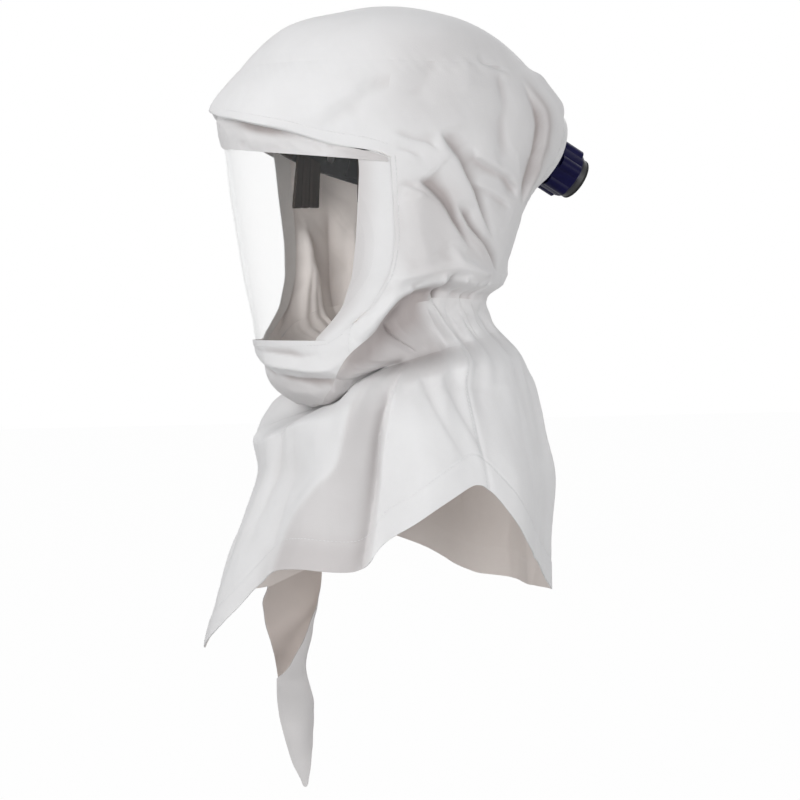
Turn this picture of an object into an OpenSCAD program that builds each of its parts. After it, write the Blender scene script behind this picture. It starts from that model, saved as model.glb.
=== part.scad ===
// Powered air respirator hood: a soft white hood with a clear visor, a head suspension with a
// turning size adjuster, an over-head air duct and a hose inlet with a turning lock collar.
// Millimetres. Origin at the centre of the headband, +Z up. The face looks along -Y, +X is the wearer's left.

/* [Hood] */
// Height of the crown above the headband centre
crown_h = 126; // [110:1:160]
// Half width of the hood at the ears
hood_half_w = 112; // [100:1:140]
// Reach of the brow in front of the headband centre
brow_reach = 148; // [135:1:180]
// Reach of the back of the hood behind the headband centre
back_reach = 163; // [150:1:200]
// Depth of the chin pouch below the headband centre
chin_drop = 208; // [185:1:250]
// Overhang of the folded peak over the visor
peak_overhang = 9; // [6:0.5:14]
// Thickness of the hood fabric
fabric_t = 1.2; // [0.8:0.1:1.6]

/* [Visor] */
// Thickness of the clear visor film
visor_t = 0.8; // [0.5:0.1:1.2]
// Half angle of the visor opening at the temples
visor_half_angle = 70; // [60:1:74]
// Width of the tape that binds the visor's edge on the wearer's left
tape_w = 20; // [12:1:26]
// Width of the same tape on the wearer's right, where the fabric covers most of it
right_tape_w = 8; // [6:1:26]

/* [Neck and bib] */
// Radius of the gathered neck
neck_r = 62; // [55:1:75]
// Distance of the neck's centre behind the headband centre
neck_back = 30; // [20:1:40]
// Depth of the neck's centre below the headband centre
neck_drop = 159; // [145:1:175]
// Tilt of the neck ring, its front lower
neck_tilt = 17; // [8:1:24]
// Reach of the bib's hem in front of its axis
bib_front_reach = 165; // [135:1:190]
// Reach of the bib's hem behind its axis
bib_back_reach = 127; // [110:1:150]
// Depth of the bib's lowest front edge below the headband centre
bib_drop = 366; // [320:1:440]
// Depth of the tip of the bib's long right corner
tail_drop = 556; // [480:1:620]
// Depth of the bib's hanging folds
fold_depth = 6; // [2:0.5:8]

/* [Head suspension] */
// Half width of the headband inside
head_half_w = 78; // [70:0.5:84]
// Half length of the headband inside
head_half_l = 92; // [84:0.5:100]
// Height of the headband
band_h = 28; // [20:0.5:32]
// Thickness of the headband
band_t = 2; // [1.5:0.1:2.4]
// Tilt of the headband, its front higher
band_tilt = 14; // [6:1:18]
// Height of the crown strap above the headband
strap_h = 86; // [76:1:92]
// Width of the crown straps
strap_w = 20; // [14:1:26]
// Thickness of the crown straps
strap_t = 1.5; // [1:0.1:2]
// Height of the temple pads below the headband
temple_pad_drop = 35; // [28:1:56]

/* [Size adjuster] */
// Teeth on the adjuster's pinion
pinion_teeth = 12; // [10:2:16]
// Tooth module of the pinion and racks
tooth_module = 1.25; // [1:0.05:1.5]
// Thickness of the racks
rack_t = 2.4; // [1.8:0.1:3]
// Diameter of the adjuster knob
knob_d = 34; // [28:1:40]
// Height of the adjuster knob
knob_h = 11; // [8:0.5:14]
// Diameter of the knob's shaft
shaft_d = 8; // [6:0.5:9]
// Radial clearance of turning fits
run_gap = 0.06; // [0.03:0.01:0.1]

/* [Air path] */
// Bore of the hose inlet
bore_d = 31; // [25:0.5:37]
// Wall of the inlet tube
tube_wall = 3; // [2.5:0.1:4]
// Length of the inlet tube outside the fabric
tube_out = 36; // [30:1:44]
// Angle of the inlet below level
inlet_tilt = 28; // [20:1:36]
// Height of the inlet's centre above the headband centre
inlet_z = 5; // [0:0.5:8]
// Width of the flange inside the hood beyond the tube
flange_w = 6; // [4:0.5:8]
// Length of the lock collar
collar_len = 23; // [18:1:28]
// Grip lobes on the lock collar
collar_lobes = 6; // [5:1:8]
// Width of the over-head air duct
duct_w = 66; // [50:1:80]
// Thickness of the over-head air duct
duct_t = 16; // [12:0.5:18]
// Wall of the air duct
duct_wall = 1.6; // [1.2:0.1:2.2]

/* [Hidden] */
$fn = 48;

// Clearances
seam_gap = 0.6;   // between two sewn panels
lay_gap = 1.3;    // between sheets that lie on each other
seat_gap = 0.3;   // between rigid pieces that rest on each other

// Colours
white = [0.93, 0.93, 0.94];
clear = [0.85, 0.92, 0.95, 0.35];
charcoal = [0.13, 0.13, 0.14];
foam = [0.24, 0.23, 0.23];
navy = [0.07, 0.07, 0.30];
steel = [0.70, 0.71, 0.73];
black = [0.05, 0.05, 0.05];

// Sums that several pieces share
function mix(a, b, t) = a + (b - a) * t;
function clamp01(t) = min(max(t, 0), 1);
function ease(t) = let (c = clamp01(t)) c * c * (3 - 2 * c);

// Level sections of the hood: height as a share of the crown's height or the chin's depth,
// then half width, front reach and back reach as shares of those sizes
hood_sections = [
    [1.00, 0.02, 0.01, 0.01], [0.985, 0.29, 0.19, 0.17], [0.95, 0.50, 0.32, 0.28],
    [0.89, 0.70, 0.51, 0.42], [0.775, 0.87, 0.67, 0.60], [0.58, 0.965, 0.84, 0.80],
    [0.45, 0.99, 0.93, 0.895], [0.33, 1.00, 0.97, 0.975], [0.19, 1.00, 0.98, 0.99],
    [0.00, 1.00, 0.94, 0.93], [-0.12, 1.00, 0.90, 0.80], [-0.28, 0.99, 0.845, 0.685],
    [-0.43, 0.965, 0.81, 0.625], [-0.56, 0.915, 0.79, 0.575], [-0.66, 0.88, 0.775, 0.55],
    [-0.76, 0.85, 0.765, 0.53], [-0.87, 0.79, 0.70, 0.50], [-0.94, 0.73, 0.62, 0.47],
    [-1.00, 0.62, 0.48, 0.43]];
function section_z(s) = s * (s > 0 ? crown_h : chin_drop);
function section_table(column, size) = [for (s = hood_sections) [section_z(s[0]), s[column] * size]];
width_at = section_table(1, hood_half_w);
front_at = section_table(2, brow_reach);
back_at = section_table(3, back_reach);

seam_z = 0.58 * crown_h;                 // the seam below the crown panel

// Frame of the hose inlet: its plane lies on the back of the hood
inlet_y = lookup(inlet_z, back_at);
inlet_origin = [0, inlet_y, inlet_z];
inlet_axis = [0, cos(inlet_tilt), -sin(inlet_tilt)];
inlet_up = [0, sin(inlet_tilt), cos(inlet_tilt)];
bore_r = bore_d / 2;
tube_r = bore_r + tube_wall;
flange_r = tube_r + flange_w;
flat_r = flange_r + 5;
flat_blend = ([0, lookup(seam_z, back_at), seam_z] - inlet_origin) * inlet_up - flat_r;
module at_inlet() translate(inlet_origin) rotate([-90 - inlet_tilt, 0, 0]) children();

// The fabric lies flat where the inlet clamps it, and has its own shape again at the crown's seam
function flattened(p) = let (q = p - inlet_origin, w = q * inlet_axis, r = norm(q - w * inlet_axis),
    k = w < -60 ? 1 : ease((r - flat_r) / flat_blend)) p + inlet_axis * (w * (k - 1));

// A point of the hood: angle from the face towards the wearer's left, height, reach beyond the base shape
function hood_point(phi, z, out = 0) = let (a = lookup(z, width_at) + out,
    r = lookup(z, cos(phi) > 0 ? front_at : back_at) + out) flattened([a * sin(phi), -r * cos(phi), z]);

// Sheet normals and a closed sheet of cloth from a grid of points, its rows running down and its columns
// running from the face towards the wearer's left. The grid is the outer face, moved inwards by inset.
function grid_normal(g, i, j, wrap) = let (rows = len(g), cols = len(g[0]),
    down = g[min(i + 1, rows - 1)][j] - g[max(i - 1, 0)][j],
    along = wrap ? g[i][(j + 1) % cols] - g[i][(j + cols - 1) % cols]
                 : g[i][min(j + 1, cols - 1)] - g[i][max(j - 1, 0)],
    n = cross(down, along)) n / norm(n);
function layer(g, depth, wrap) = [for (i = [0 : len(g) - 1]) for (j = [0 : len(g[0]) - 1])
    g[i][j] - depth * grid_normal(g, i, j, wrap)];
module sheet(g, thick, inset = 0, wrap = false, cap = undef) {
    rows = len(g);
    cols = len(g[0]);
    n = rows * cols;
    last = wrap ? cols - 1 : cols - 2;
    function at(i, j) = i * cols + j % cols;
    top_cap = is_undef(cap) ? [] : [cap, cap - [0, 0, thick]];
    points = concat(layer(g, inset, wrap), layer(g, inset + thick, wrap), top_cap);
    skins = [for (i = [0 : rows - 2]) for (j = [0 : last])
        let (a = at(i, j), b = at(i, j + 1), c = at(i + 1, j + 1), d = at(i + 1, j))
        each [[a, b, c], [a, c, d], [n + a, n + c, n + b], [n + a, n + d, n + c]]];
    bottom = [for (j = [0 : last]) let (a = at(rows - 1, j), b = at(rows - 1, j + 1))
        each [[a, b, n + b], [a, n + b, n + a]]];
    top = [for (j = [0 : last]) let (a = at(0, j), b = at(0, j + 1))
        each is_undef(cap) ? [[a, n + a, n + b], [a, n + b, b]]
                           : [[a, 2 * n, b], [n + a, n + b, 2 * n + 1]]];
    ends = wrap ? [] : [for (i = [0 : rows - 2])
        let (a = at(i, 0), b = at(i + 1, 0), c = at(i, cols - 1), d = at(i + 1, cols - 1))
        each [[a, b, n + b], [a, n + b, n + a], [c, n + c, n + d], [c, n + d, d]]];
    polyhedron(points, concat(skins, bottom, top, ends), convexity = 10);
}

// Edges of the hood's panels
back_seam = 156;                         // angle of the seams beside the back panel
peak_end = visor_half_angle;             // angle where the peak runs out
chin_seam = 50;                          // angle of the seams beside the chin panel
peak_front_z = 0.29 * crown_h;
peak_side_z = -4;
visor_top_z = 11;
visor_bottom_z = -0.755 * chin_drop;
function peak_z(phi) = mix(peak_front_z, peak_side_z, pow(clamp01(abs(phi) / peak_end), 1.6));
function peak_out(phi) = peak_overhang * (1 - ease((abs(phi) - 20) / (peak_end - 20)));
function window_top(phi) = mix(visor_top_z, visor_top_z - 15, clamp01(abs(phi) / visor_half_angle));
function visor_angle(z) = lookup(z, [[visor_bottom_z, chin_seam - 8], [visor_bottom_z + 9, chin_seam],
    [visor_bottom_z + 26, visor_half_angle - 9], [visor_bottom_z + 52, visor_half_angle - 2],
    [visor_bottom_z + 80, visor_half_angle]]);
hem_drops = [[0, 1], [24, 0.985], [40, 0.92], [50, 0.80], [60, 0.67], [72, 0.60], [180, 0.58]];
function hem_z(phi) = let (p = abs(phi > 180 ? phi - 360 : phi))
    -chin_drop * lookup(p, hem_drops);
chin_tops = [[chin_seam - 8, visor_bottom_z], [chin_seam, visor_bottom_z + 9]];
function chin_top(phi) = lookup(abs(phi), chin_tops);

// Hood panels
module crown_panel() {
    shares = [0.985, 0.95, 0.89, 0.775, 0.68, 0.58];
    grid = [for (s = shares) [for (j = [0 : 35]) hood_point(j * 10, s * crown_h)]];
    color(white) sheet(grid, fabric_t, wrap = true, cap = [0, 0, crown_h]);
}

module brow_panel() {
    lip = [[0, 0], [0.25, 0.1], [0.5, 0.34], [0.75, 0.7], [0.92, 0.95], [1, 1]];
    fold = [[2.2, 0.86], [3, 0.45], [2.6, 0.1]];
    function lip_point(phi, k) = let (z = mix(seam_z - seam_gap, peak_z(phi), k[0]))
        hood_point(phi, z, peak_out(phi) * k[1]);
    function fold_point(phi, k) = hood_point(phi, peak_z(phi) - k[0], peak_out(phi) * k[1]);
    angles = [for (j = [-10 : 10]) (peak_end - 0.2) * j / 10];
    grid = concat([for (k = lip) [for (phi = angles) lip_point(phi, k)]],
                  [for (k = fold) [for (phi = angles) fold_point(phi, k)]]);
    color(white) sheet(grid, fabric_t);
}

module side_panel() {
    rows = 13;
    cols = 11;
    function side_point(i, j) = let (s = j / cols,
        z = mix(seam_z - seam_gap, hem_z(mix(chin_seam, back_seam, s)), i / rows))
        hood_point(mix(max(visor_angle(z), chin_seam) + 0.2, back_seam - 0.4, s), z);
    grid = [for (i = [0 : rows]) [for (j = [0 : cols]) side_point(i, j)]];
    color(white) sheet(grid, fabric_t);
}
module left_side_panel() side_panel();
module right_side_panel() mirror([1, 0, 0]) side_panel();

module back_panel() {
    cols = 14;
    dense = flat_r + 10;
    heights = concat([seam_z - seam_gap, mix(seam_z, dense, 0.4), mix(seam_z, dense, 0.75)],
        [for (i = [0 : 12]) inlet_z + dense * (1 - i / 6)],
        [for (i = [1 : 6]) mix(inlet_z - dense, hem_z(180), i / 6)]);
    angles = [for (j = [0 : cols]) mix(back_seam, 360 - back_seam, j / cols)];
    grid = [for (z = heights) [for (phi = angles) hood_point(phi, z)]];
    color(white) difference() {
        sheet(grid, fabric_t);
        at_inlet() cylinder(r = tube_r + seat_gap, h = 20, center = true);
    }
}

module chin_panel() {
    rows = 7;
    cols = 14;
    function chin_point(i, j) = let (phi = mix(-chin_seam + 0.2, chin_seam - 0.2, j / cols),
        z = mix(chin_top(phi), hem_z(phi), i / rows)) hood_point(phi, z);
    color(white) sheet([for (i = [0 : rows]) [for (j = [0 : cols]) chin_point(i, j)]], fabric_t);
}

// The neck: gathered cloth from the hood's lower edge to the neck ring, with an elastic inside it
function neck_point(phi, r, lift = 0) = let (c = cos(phi), s = sin(phi))
    [r * s, neck_back - r * c * cos(neck_tilt), -neck_drop - r * c * sin(neck_tilt) + lift];
gather_n = 24;
gather_depth = 1.5;
module neck_yoke() {
    rows = 4;
    cols = 2 * gather_n;
    function yoke_point(i, j) = let (phi = 360 * j / cols, k = i / rows,
        top = hood_point(phi, hem_z(phi), -fabric_t - lay_gap), end = neck_point(phi, neck_r + 2, 1.8))
        mix(top, end, k) + [sin(phi), -cos(phi), 0] * (gather_depth * k * (j % 2 == 0 ? 1 : -1));
    grid = [for (i = [0 : rows]) [for (j = [0 : cols - 1]) yoke_point(i, j)]];
    color(white) sheet(grid, fabric_t, wrap = true);
}

module neck_elastic() {
    band_h = 8;
    out_r = neck_r - 1.2;
    color(foam) translate([0, neck_back, -neck_drop]) rotate([neck_tilt, 0, 0])
        difference() {
            cylinder(r = out_r, h = band_h, center = true);
            cylinder(r = out_r - 1.5, h = band_h + 1, center = true);
        }
}

// The bib hangs round its own axis. Its hem is wavy, with a long corner on the wearer's right.
bib_y = 15;
tail_tip = -85;        // angles of the long corner's tip and of where it starts on either side
tail_front = -65;
tail_back = -93;
bib_front = [[-chin_drop - 350, bib_front_reach], [-405, bib_front_reach], [-357, bib_front_reach - 14],
    [-289, bib_front_reach - 36], [-240, bib_front_reach - 38], [-205, bib_front_reach - 48],
    [-neck_drop, neck_r + 20]];
bib_back = [[-chin_drop - 350, bib_back_reach], [-263, bib_back_reach - 4], [-221, bib_back_reach - 12],
    [-187, bib_back_reach - 25], [-neck_drop, neck_r + 24], [-neck_drop + 19, neck_r + 8]];
hem_shares = [[-180, 1], [-150, 0.99], [-128, 0.92], [-112, 0.89], [-95, 0.96], [-64, 1.02], [-50, 1.02],
    [-30, 1.13], [-12, 1.035], [2, 1], [11, 0.965], [20, 0.932], [30, 0.921], [46, 0.923], [51, 0.915],
    [57, 0.862], [66, 0.826], [75, 0.783], [86, 0.743], [91, 0.729], [96, 0.742], [105, 0.806],
    [114, 0.872], [125, 0.903], [140, 0.95], [153, 1], [180, 1]];
function bib_hem(phi) = let (a = phi > 180 ? phi - 360 : phi, base = -bib_drop * lookup(a, hem_shares),
    tail = lookup(a, [[tail_back, 0], [tail_tip, 1], [tail_front, 0]])) mix(base, -tail_drop, tail);
function bib_reach(phi, z) = mix(lookup(z, bib_front), lookup(z, bib_back), (1 - cos(phi + 27)) / 2);
function bib_point(phi, t) = let (top = neck_point(phi, neck_r + 2), z = mix(top[2], bib_hem(phi), t),
    fold = fold_depth * ease(t / 0.6) * cos(9 * phi + 40), r = bib_reach(phi, z) + fold,
    hang = [r * sin(phi), bib_y - r * cos(phi), z], near = ease((62 - abs(phi)) / 30),
    k = ease((t - 0.12 * near) / 0.15))
    [mix(top[0], hang[0], k), mix(top[1], hang[1], k), z];
module bib(angles, rows) {
    grid = [for (i = [0 : rows]) [for (phi = angles) bib_point(phi, i / rows)]];
    color(white) sheet(grid, fabric_t);
}
left_seam = 96;        // angles of the shoulder seams
right_seam = -98;
tail_angles = concat([for (a = [0 : 3]) mix(tail_back, tail_tip, a / 4)],
                     [for (a = [0 : 5]) mix(tail_tip, tail_front, a / 5)]);
module front_bib() bib(concat([right_seam + 0.5], tail_angles,
    [for (a = [1 : 20]) mix(tail_front, left_seam - 0.5, a / 20)]), 13);
module back_bib() bib([for (a = [0 : 22]) mix(left_seam + 0.5, 360 + right_seam - 0.5, a / 22)], 11);

// The clear visor lies just inside the fabric and runs under its edges
visor_inset = fabric_t + lay_gap;
visor_lap = 6;
module visor() {
    rows = 10;
    cols = 20;
    function visor_point(i, j) = let (s = 2 * j / cols - 1,
        top = window_top(s * visor_half_angle) + visor_lap,
        z = mix(top, visor_bottom_z - visor_lap, i / rows)) hood_point(s * (visor_angle(z) + 3), z);
    grid = [for (i = [0 : rows]) [for (j = [0 : cols]) visor_point(i, j)]];
    color(clear) sheet(grid, visor_t, visor_inset);
}

module visor_top_band() {
    rows = 3;
    angles = [for (j = [-9 : 9]) (peak_end - 0.2) * j / 10];
    grid = [for (i = [0 : rows]) [for (phi = angles)
        hood_point(phi, mix(peak_z(phi) - 3.2, window_top(phi), i / rows))]];
    color(white) sheet(grid, fabric_t);
}

// The swell gives the width along the tape, from its top, as shares of w
module visor_tape(w, swell) {
    rows = 14;
    cols = 3;
    tape_angle = w / hood_half_w * 180 / PI;
    function tape_point(i, j) = let (s = 1 - j / cols,
        z = mix(peak_side_z - 5, visor_bottom_z + 4, i / rows),
        wide = tape_angle * lookup(i / rows, swell)) hood_point(visor_angle(z) - 1.6 - s * wide, z);
    grid = [for (i = [0 : rows]) [for (j = [0 : cols]) tape_point(i, j)]];
    color(white) sheet(grid, fabric_t, lay_gap / 2);
}
module left_visor_tape() visor_tape(tape_w, [[0, 1], [0.48, 1.41], [0.67, 1.48], [0.85, 0.97], [1, 0.3]]);
module right_visor_tape() mirror([1, 0, 0]) visor_tape(right_tape_w, [[0, 1], [0.5, 0.73], [1, 0.45]]);

// Head suspension, in its own tilted frame. The ring's rear half is round, so that the racks slide in it.
rear_y = head_half_l - head_half_w;
front_l = head_half_l + rear_y;
module at_head() rotate([-band_tilt, 0, 0]) children();
module at_rear() at_head() translate([0, rear_y, 0]) children();
function ring_point(angle, out) = let (l = abs(angle) < 90 ? front_l : head_half_w)
    [(head_half_w + out) * sin(angle), rear_y - (l + out) * cos(angle)];
module ring_strip(from, to, inner, outer, low, high, steps = 24) {
    points = concat([for (i = [0 : steps]) ring_point(mix(from, to, i / steps), outer)],
                    [for (i = [steps : -1 : 0]) ring_point(mix(from, to, i / steps), inner)]);
    translate([0, 0, low]) linear_extrude(high - low) polygon(points);
}
module ring_sector(half, inner, outer, low, high) {
    rotate([0, 0, 90 - half]) rotate_extrude(angle = 2 * half, $fn = 120)
        translate([inner, low]) square([outer - inner, high - low]);
}

brow_end = 80;
rivet_angle = 74;
rivet_r = 2;
pad_t = 5;
module at_rivet(side) {
    p = ring_point(rivet_angle, band_t);
    lean = atan2(cos(rivet_angle) / front_l, sin(rivet_angle) / head_half_w);
    translate([side * p[0], p[1], 0]) rotate([0, 90, side > 0 ? -lean : 180 + lean]) children();
}
module rivet_holes(side) at_rivet(side) cylinder(r = rivet_r + 0.1, h = 24, center = true);

module brow_band() {
    color(charcoal) at_head() difference() {
        ring_strip(-brow_end, brow_end, 0, band_t, -band_h / 2, band_h / 2, 32);
        rivet_holes(1);
        rivet_holes(-1);
    }
}

// A pad is thinner along its two long edges than in its middle
module pad_strip(half, low, high) {
    edge = (high - low) * 0.18;
    ring_strip(-half, half, -seat_gap - pad_t * 0.7, -seat_gap, low, high, 20);
    ring_strip(-half, half, -seat_gap - pad_t, -seat_gap, low + edge, high - edge, 20);
}
module brow_pad() color(foam) at_head() pad_strip(44, -band_h / 2 - 1, band_h / 2 + 1);

strap_in = band_t + seat_gap;
module side_strap() {
    color(charcoal) at_head() difference() {
        ring_strip(66, 140, strap_in, strap_in + band_t, -band_h / 2, band_h / 2);
        rivet_holes(1);
    }
}
module left_strap() side_strap();
module right_strap() mirror([1, 0, 0]) side_strap();

module band_rivets() {
    reach = 2 * band_t + seat_gap;
    color(steel) at_head() for (side = [1, -1]) at_rivet(side) {
        translate([0, 0, -band_t - 1.6]) cylinder(r = rivet_r + 1.6, h = 1.2);
        translate([0, 0, -band_t - 1]) cylinder(r = rivet_r, h = reach + 2);
        translate([0, 0, reach - band_t + 0.5]) cylinder(r = rivet_r + 1.6, h = 1.2);
    }
}

// The temple pads hang plumb, so they run back along the ring towards their lower ends
pad_lean = tan(band_tilt) / (front_l * PI / 180);
module temple_pad() {
    rows = 5;
    cols = 6;
    low = -band_h / 2 - temple_pad_drop;
    high = -band_h / 2 + 8;
    pad_arc = 18;
    rise = pad_arc * front_l * PI / 180 * tan(band_tilt);    // the lower edge hangs level
    function pad_angle(z, s) = 61.5 + pad_arc * (s - 0.5) - (z - (low + high) / 2) * pad_lean;
    grid = [for (i = [0 : rows]) [for (j = [0 : cols])
        let (z = mix(high, low + rise * (j / cols - 0.5), i / rows))
        concat(ring_point(pad_angle(z, j / cols), -seat_gap), [z])]];
    color(foam) at_head() sheet(grid, 3);
}
module left_temple_pad() temple_pad();
module right_temple_pad() mirror([1, 0, 0]) temple_pad();

// Two straps cross over the head, held by a stud
arch_base = band_h / 2;
function arch(half, high, from = 0, to = 180, steps = 30) = [for (i = [0 : steps])
    let (a = mix(from, to, i / steps)) [half * cos(a), arch_base + (high - arch_base) * sin(a)]];
function reversed(list) = [for (i = [len(list) - 1 : -1 : 0]) list[i]];
cross_half = head_half_w + strap_in - 0.8;
cross_h = strap_h + strap_t + 0.9;
leg = 10;
stud_r = 1.5;
module cross_strap() {
    outer = arch(cross_half, cross_h + strap_t);
    inner = arch(cross_half - strap_t, cross_h);
    legs = [[-cross_half, -leg], [strap_t - cross_half, -leg]];
    profile = concat([[cross_half, -leg]], outer, legs, reversed(inner), [[cross_half - strap_t, -leg]]);
    color(charcoal) at_rear() difference() {
        rotate([90, 0, 0]) linear_extrude(strap_w, center = true) polygon(profile);
        translate([0, 0, strap_h]) cylinder(r = stud_r + 0.1, h = 30, center = true);
    }
}

housing_z = band_h / 2 + 0.4;
housing_wall = 2;
housing_top = housing_z + housing_wall;
crown_front = rear_y - front_l - band_t - seat_gap - strap_t;
crown_back = rear_y + head_half_w;
crown_mid = (crown_front + crown_back) / 2;
crown_half = (crown_back - crown_front) / 2;
module crown_strap() {
    stop = asin((housing_top + seat_gap - arch_base) / (strap_h - arch_base));
    outer = arch(crown_half, strap_h + strap_t, stop);
    inner = arch(crown_half - strap_t, strap_h, stop);
    legs = [[-crown_half, -leg], [strap_t - crown_half, -leg]];
    color(charcoal) at_head() difference() {
        translate([0, crown_mid, 0]) rotate([90, 0, 90]) linear_extrude(strap_w, center = true)
            polygon(concat(outer, legs, reversed(inner)));
        translate([0, rear_y, strap_h]) cylinder(r = stud_r + 0.1, h = 30, center = true);
    }
}

function crown_under(y) = arch_base
    + (strap_h - arch_base) * sqrt(1 - pow((y - crown_mid) / (crown_half - strap_t), 2));
stud_top = cross_h + strap_t + 1.8;
module crown_stud() {
    low = crown_under(rear_y + 4) - 0.3;
    color(steel) at_rear() {
        translate([0, 0, low - 1.5]) cylinder(r = 4, h = 1.5);
        translate([0, 0, low - 1]) cylinder(r = stud_r, h = stud_top - low);
        translate([0, 0, stud_top - 1.6]) cylinder(r = 5, h = 1.6);
    }
}

// Webbing hangers hold the headband in the hood
hanger_in = head_half_w + strap_in + band_t + seat_gap;
hanger_y = rear_y + strap_w / 2;
hanger_out = lookup(0, width_at) * sqrt(1 - pow(hanger_y / lookup(0, back_at), 2)) - fabric_t - 0.6;
module hanger() {
    foot = 16;
    color(foam) at_rear() {
        translate([hanger_in, -strap_w / 2, -foot / 2]) cube([1.2, strap_w, foot]);
        translate([hanger_out - 1.2, -strap_w / 2, -foot / 2]) cube([1.2, strap_w, foot]);
        translate([hanger_in, -strap_w / 2, -0.6]) cube([hanger_out - hanger_in, strap_w, 1.2]);
    }
}
module left_hanger() hanger();
module right_hanger() mirror([1, 0, 0]) hanger();

// Size adjuster at the back of the headband: a pinion turns between two toothed racks
rack_out = head_half_w + band_t - 0.2;
rack_in = rack_out - rack_t;
rack_mid = (rack_in + rack_out) / 2;
wall_gap = 0.4;
pinion_face = rack_out - 0.1;
pinion_play = 0.08;
pitch_r = tooth_module * pinion_teeth / 2;
pressure = 20;
addendum = 0.6 * tooth_module;
backlash = 0.3;
tooth_half = PI * tooth_module / 4 - backlash / 2;
rack_root = pitch_r + 0.8 * tooth_module;
housing_half = 27;
housing_in = rack_in - wall_gap - 2.4;
cover_in = norm([pinion_face + pinion_play, pitch_r + addendum]);
cover_t = 2.2;
knob_base = cover_in + cover_t + 0.9;
stub_r = shaft_d / 2 - 1.5;

module ratchet_housing() {
    color(charcoal) at_rear() difference() {
        union() {
            ring_sector(housing_half, housing_in, rack_in - wall_gap, -housing_top, housing_top);
            for (low = [-housing_top, housing_z])
                ring_sector(housing_half, housing_in, cover_in + cover_t, low, low + housing_wall);
        }
        translate([0, housing_in, 0]) rotate([-90, 0, 0])
            cylinder(r = stub_r + run_gap, h = 12, center = true);
    }
}

module ratchet_cover() {
    color(charcoal) at_rear() difference() {
        ring_sector(housing_half, cover_in, cover_in + cover_t, seat_gap - housing_z, housing_z - seat_gap);
        translate([0, cover_in, 0]) rotate([-90, 0, 0])
            cylinder(r = shaft_d / 2 + run_gap, h = 12, center = true);
    }
}

module nape_pad() {
    high = housing_top + 1;
    back = housing_in - seat_gap;
    color(foam) at_rear() {
        ring_sector(housing_half + 4, back - pad_t * 0.7, back, -high, high);
        ring_sector(housing_half + 1, back - pad_t, back - 0.1, 4 - high, high - 4);
    }
}

rack_teeth = 12;
tooth_step = PI * tooth_module / rack_mid * 180 / PI;
module rack() {
    tip = pitch_r - addendum;
    lean = tan(pressure);
    tooth = [[-tooth_half - (rack_root + 0.4 - pitch_r) * lean, rack_root + 0.4],
             [tooth_half + (rack_root + 0.4 - pitch_r) * lean, rack_root + 0.4],
             [tooth_half - addendum * lean, tip], [addendum * lean - tooth_half, tip]];
    rotate([0, 0, -20]) ring_sector(42, rack_in, rack_out, rack_root, band_h / 2);
    for (i = [-rack_teeth / 2 : rack_teeth / 2 - 1]) rotate([0, 0, (i + 0.5) * tooth_step])
        translate([0, rack_out, 0]) rotate([90, 0, 0]) linear_extrude(rack_t) polygon(tooth);
}
module left_rack() color(black) at_rear() rack();
module right_rack() color(black) at_rear() rotate([0, 180, 0]) rack();

// Involute outline of the pinion
base_r = pitch_r * cos(pressure);
function involute(r) = let (a = acos(min(base_r / max(r, base_r), 1))) tan(a) * 180 / PI - a;
function flank(r) = tooth_half / pitch_r * 180 / PI + involute(pitch_r) - involute(r);
module ratchet_pinion() {
    root = pitch_r - 0.85 * tooth_module;
    radii = [root, base_r, mix(base_r, pitch_r, 0.5), pitch_r, pitch_r + addendum];
    one = concat([for (r = radii) [r, -flank(r)]], [for (r = reversed(radii)) [r, flank(r)]]);
    points = [for (k = [0 : pinion_teeth - 1]) for (q = one)
        let (a = 90 + 360 * k / pinion_teeth + q[1]) [q[0] * cos(a), q[0] * sin(a)]];
    color(black) at_rear() difference() {
        union() {
            translate([0, pinion_face, 0]) rotate([90, 0, 0])
                linear_extrude(rack_t - 0.2) polygon(points);
            translate([0, rack_out - 0.5, 0]) rotate([-90, 0, 0])
                cylinder(r = shaft_d / 2, h = knob_base + knob_h / 2 - rack_out + 0.5);
            translate([0, housing_in + 0.2, 0]) rotate([-90, 0, 0])
                cylinder(r = stub_r, h = rack_in + 0.5 - housing_in);
        }
        translate([0, cover_in, 0]) rotate([-90, 0, 0]) cylinder(r = 1.2, h = knob_h + 12);
    }
}

module friction_washer() {
    color(steel) at_rear() translate([0, cover_in + cover_t + 0.2, 0]) rotate([-90, 0, 0]) difference() {
        cylinder(r = shaft_d / 2 + 5, h = 0.5);
        translate([0, 0, -1]) cylinder(r = shaft_d / 2 + 0.15, h = 3);
    }
}

module ratchet_knob() {
    grips = 12;
    color(charcoal) at_rear() translate([0, knob_base, 0]) rotate([-90, 0, 0]) difference() {
        cylinder(d = knob_d, h = knob_h);
        for (i = [0 : grips - 1]) rotate([0, 0, i * 360 / grips])
            translate([knob_d / 2 + 1.6, 0, 2]) cylinder(r = 3, h = knob_h);
        translate([0, 0, -1]) cylinder(r = shaft_d / 2 + 0.05, h = knob_h / 2 + 1.1);
        cylinder(r = 1.6, h = knob_h + 1);
        translate([0, 0, knob_h - 3]) cylinder(r = 3.3, h = 4);
    }
}

module knob_screw() {
    color(steel) at_rear() translate([0, knob_base, 0]) rotate([-90, 0, 0]) difference() {
        union() {
            translate([0, 0, knob_h - 2.9]) cylinder(r = 3, h = 2);
            translate([0, 0, 0.5]) cylinder(r = 1.1, h = knob_h - 3);
        }
        translate([0, 0, knob_h - 0.9]) cube([4, 0.8, 1.6], center = true);
    }
}

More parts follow.
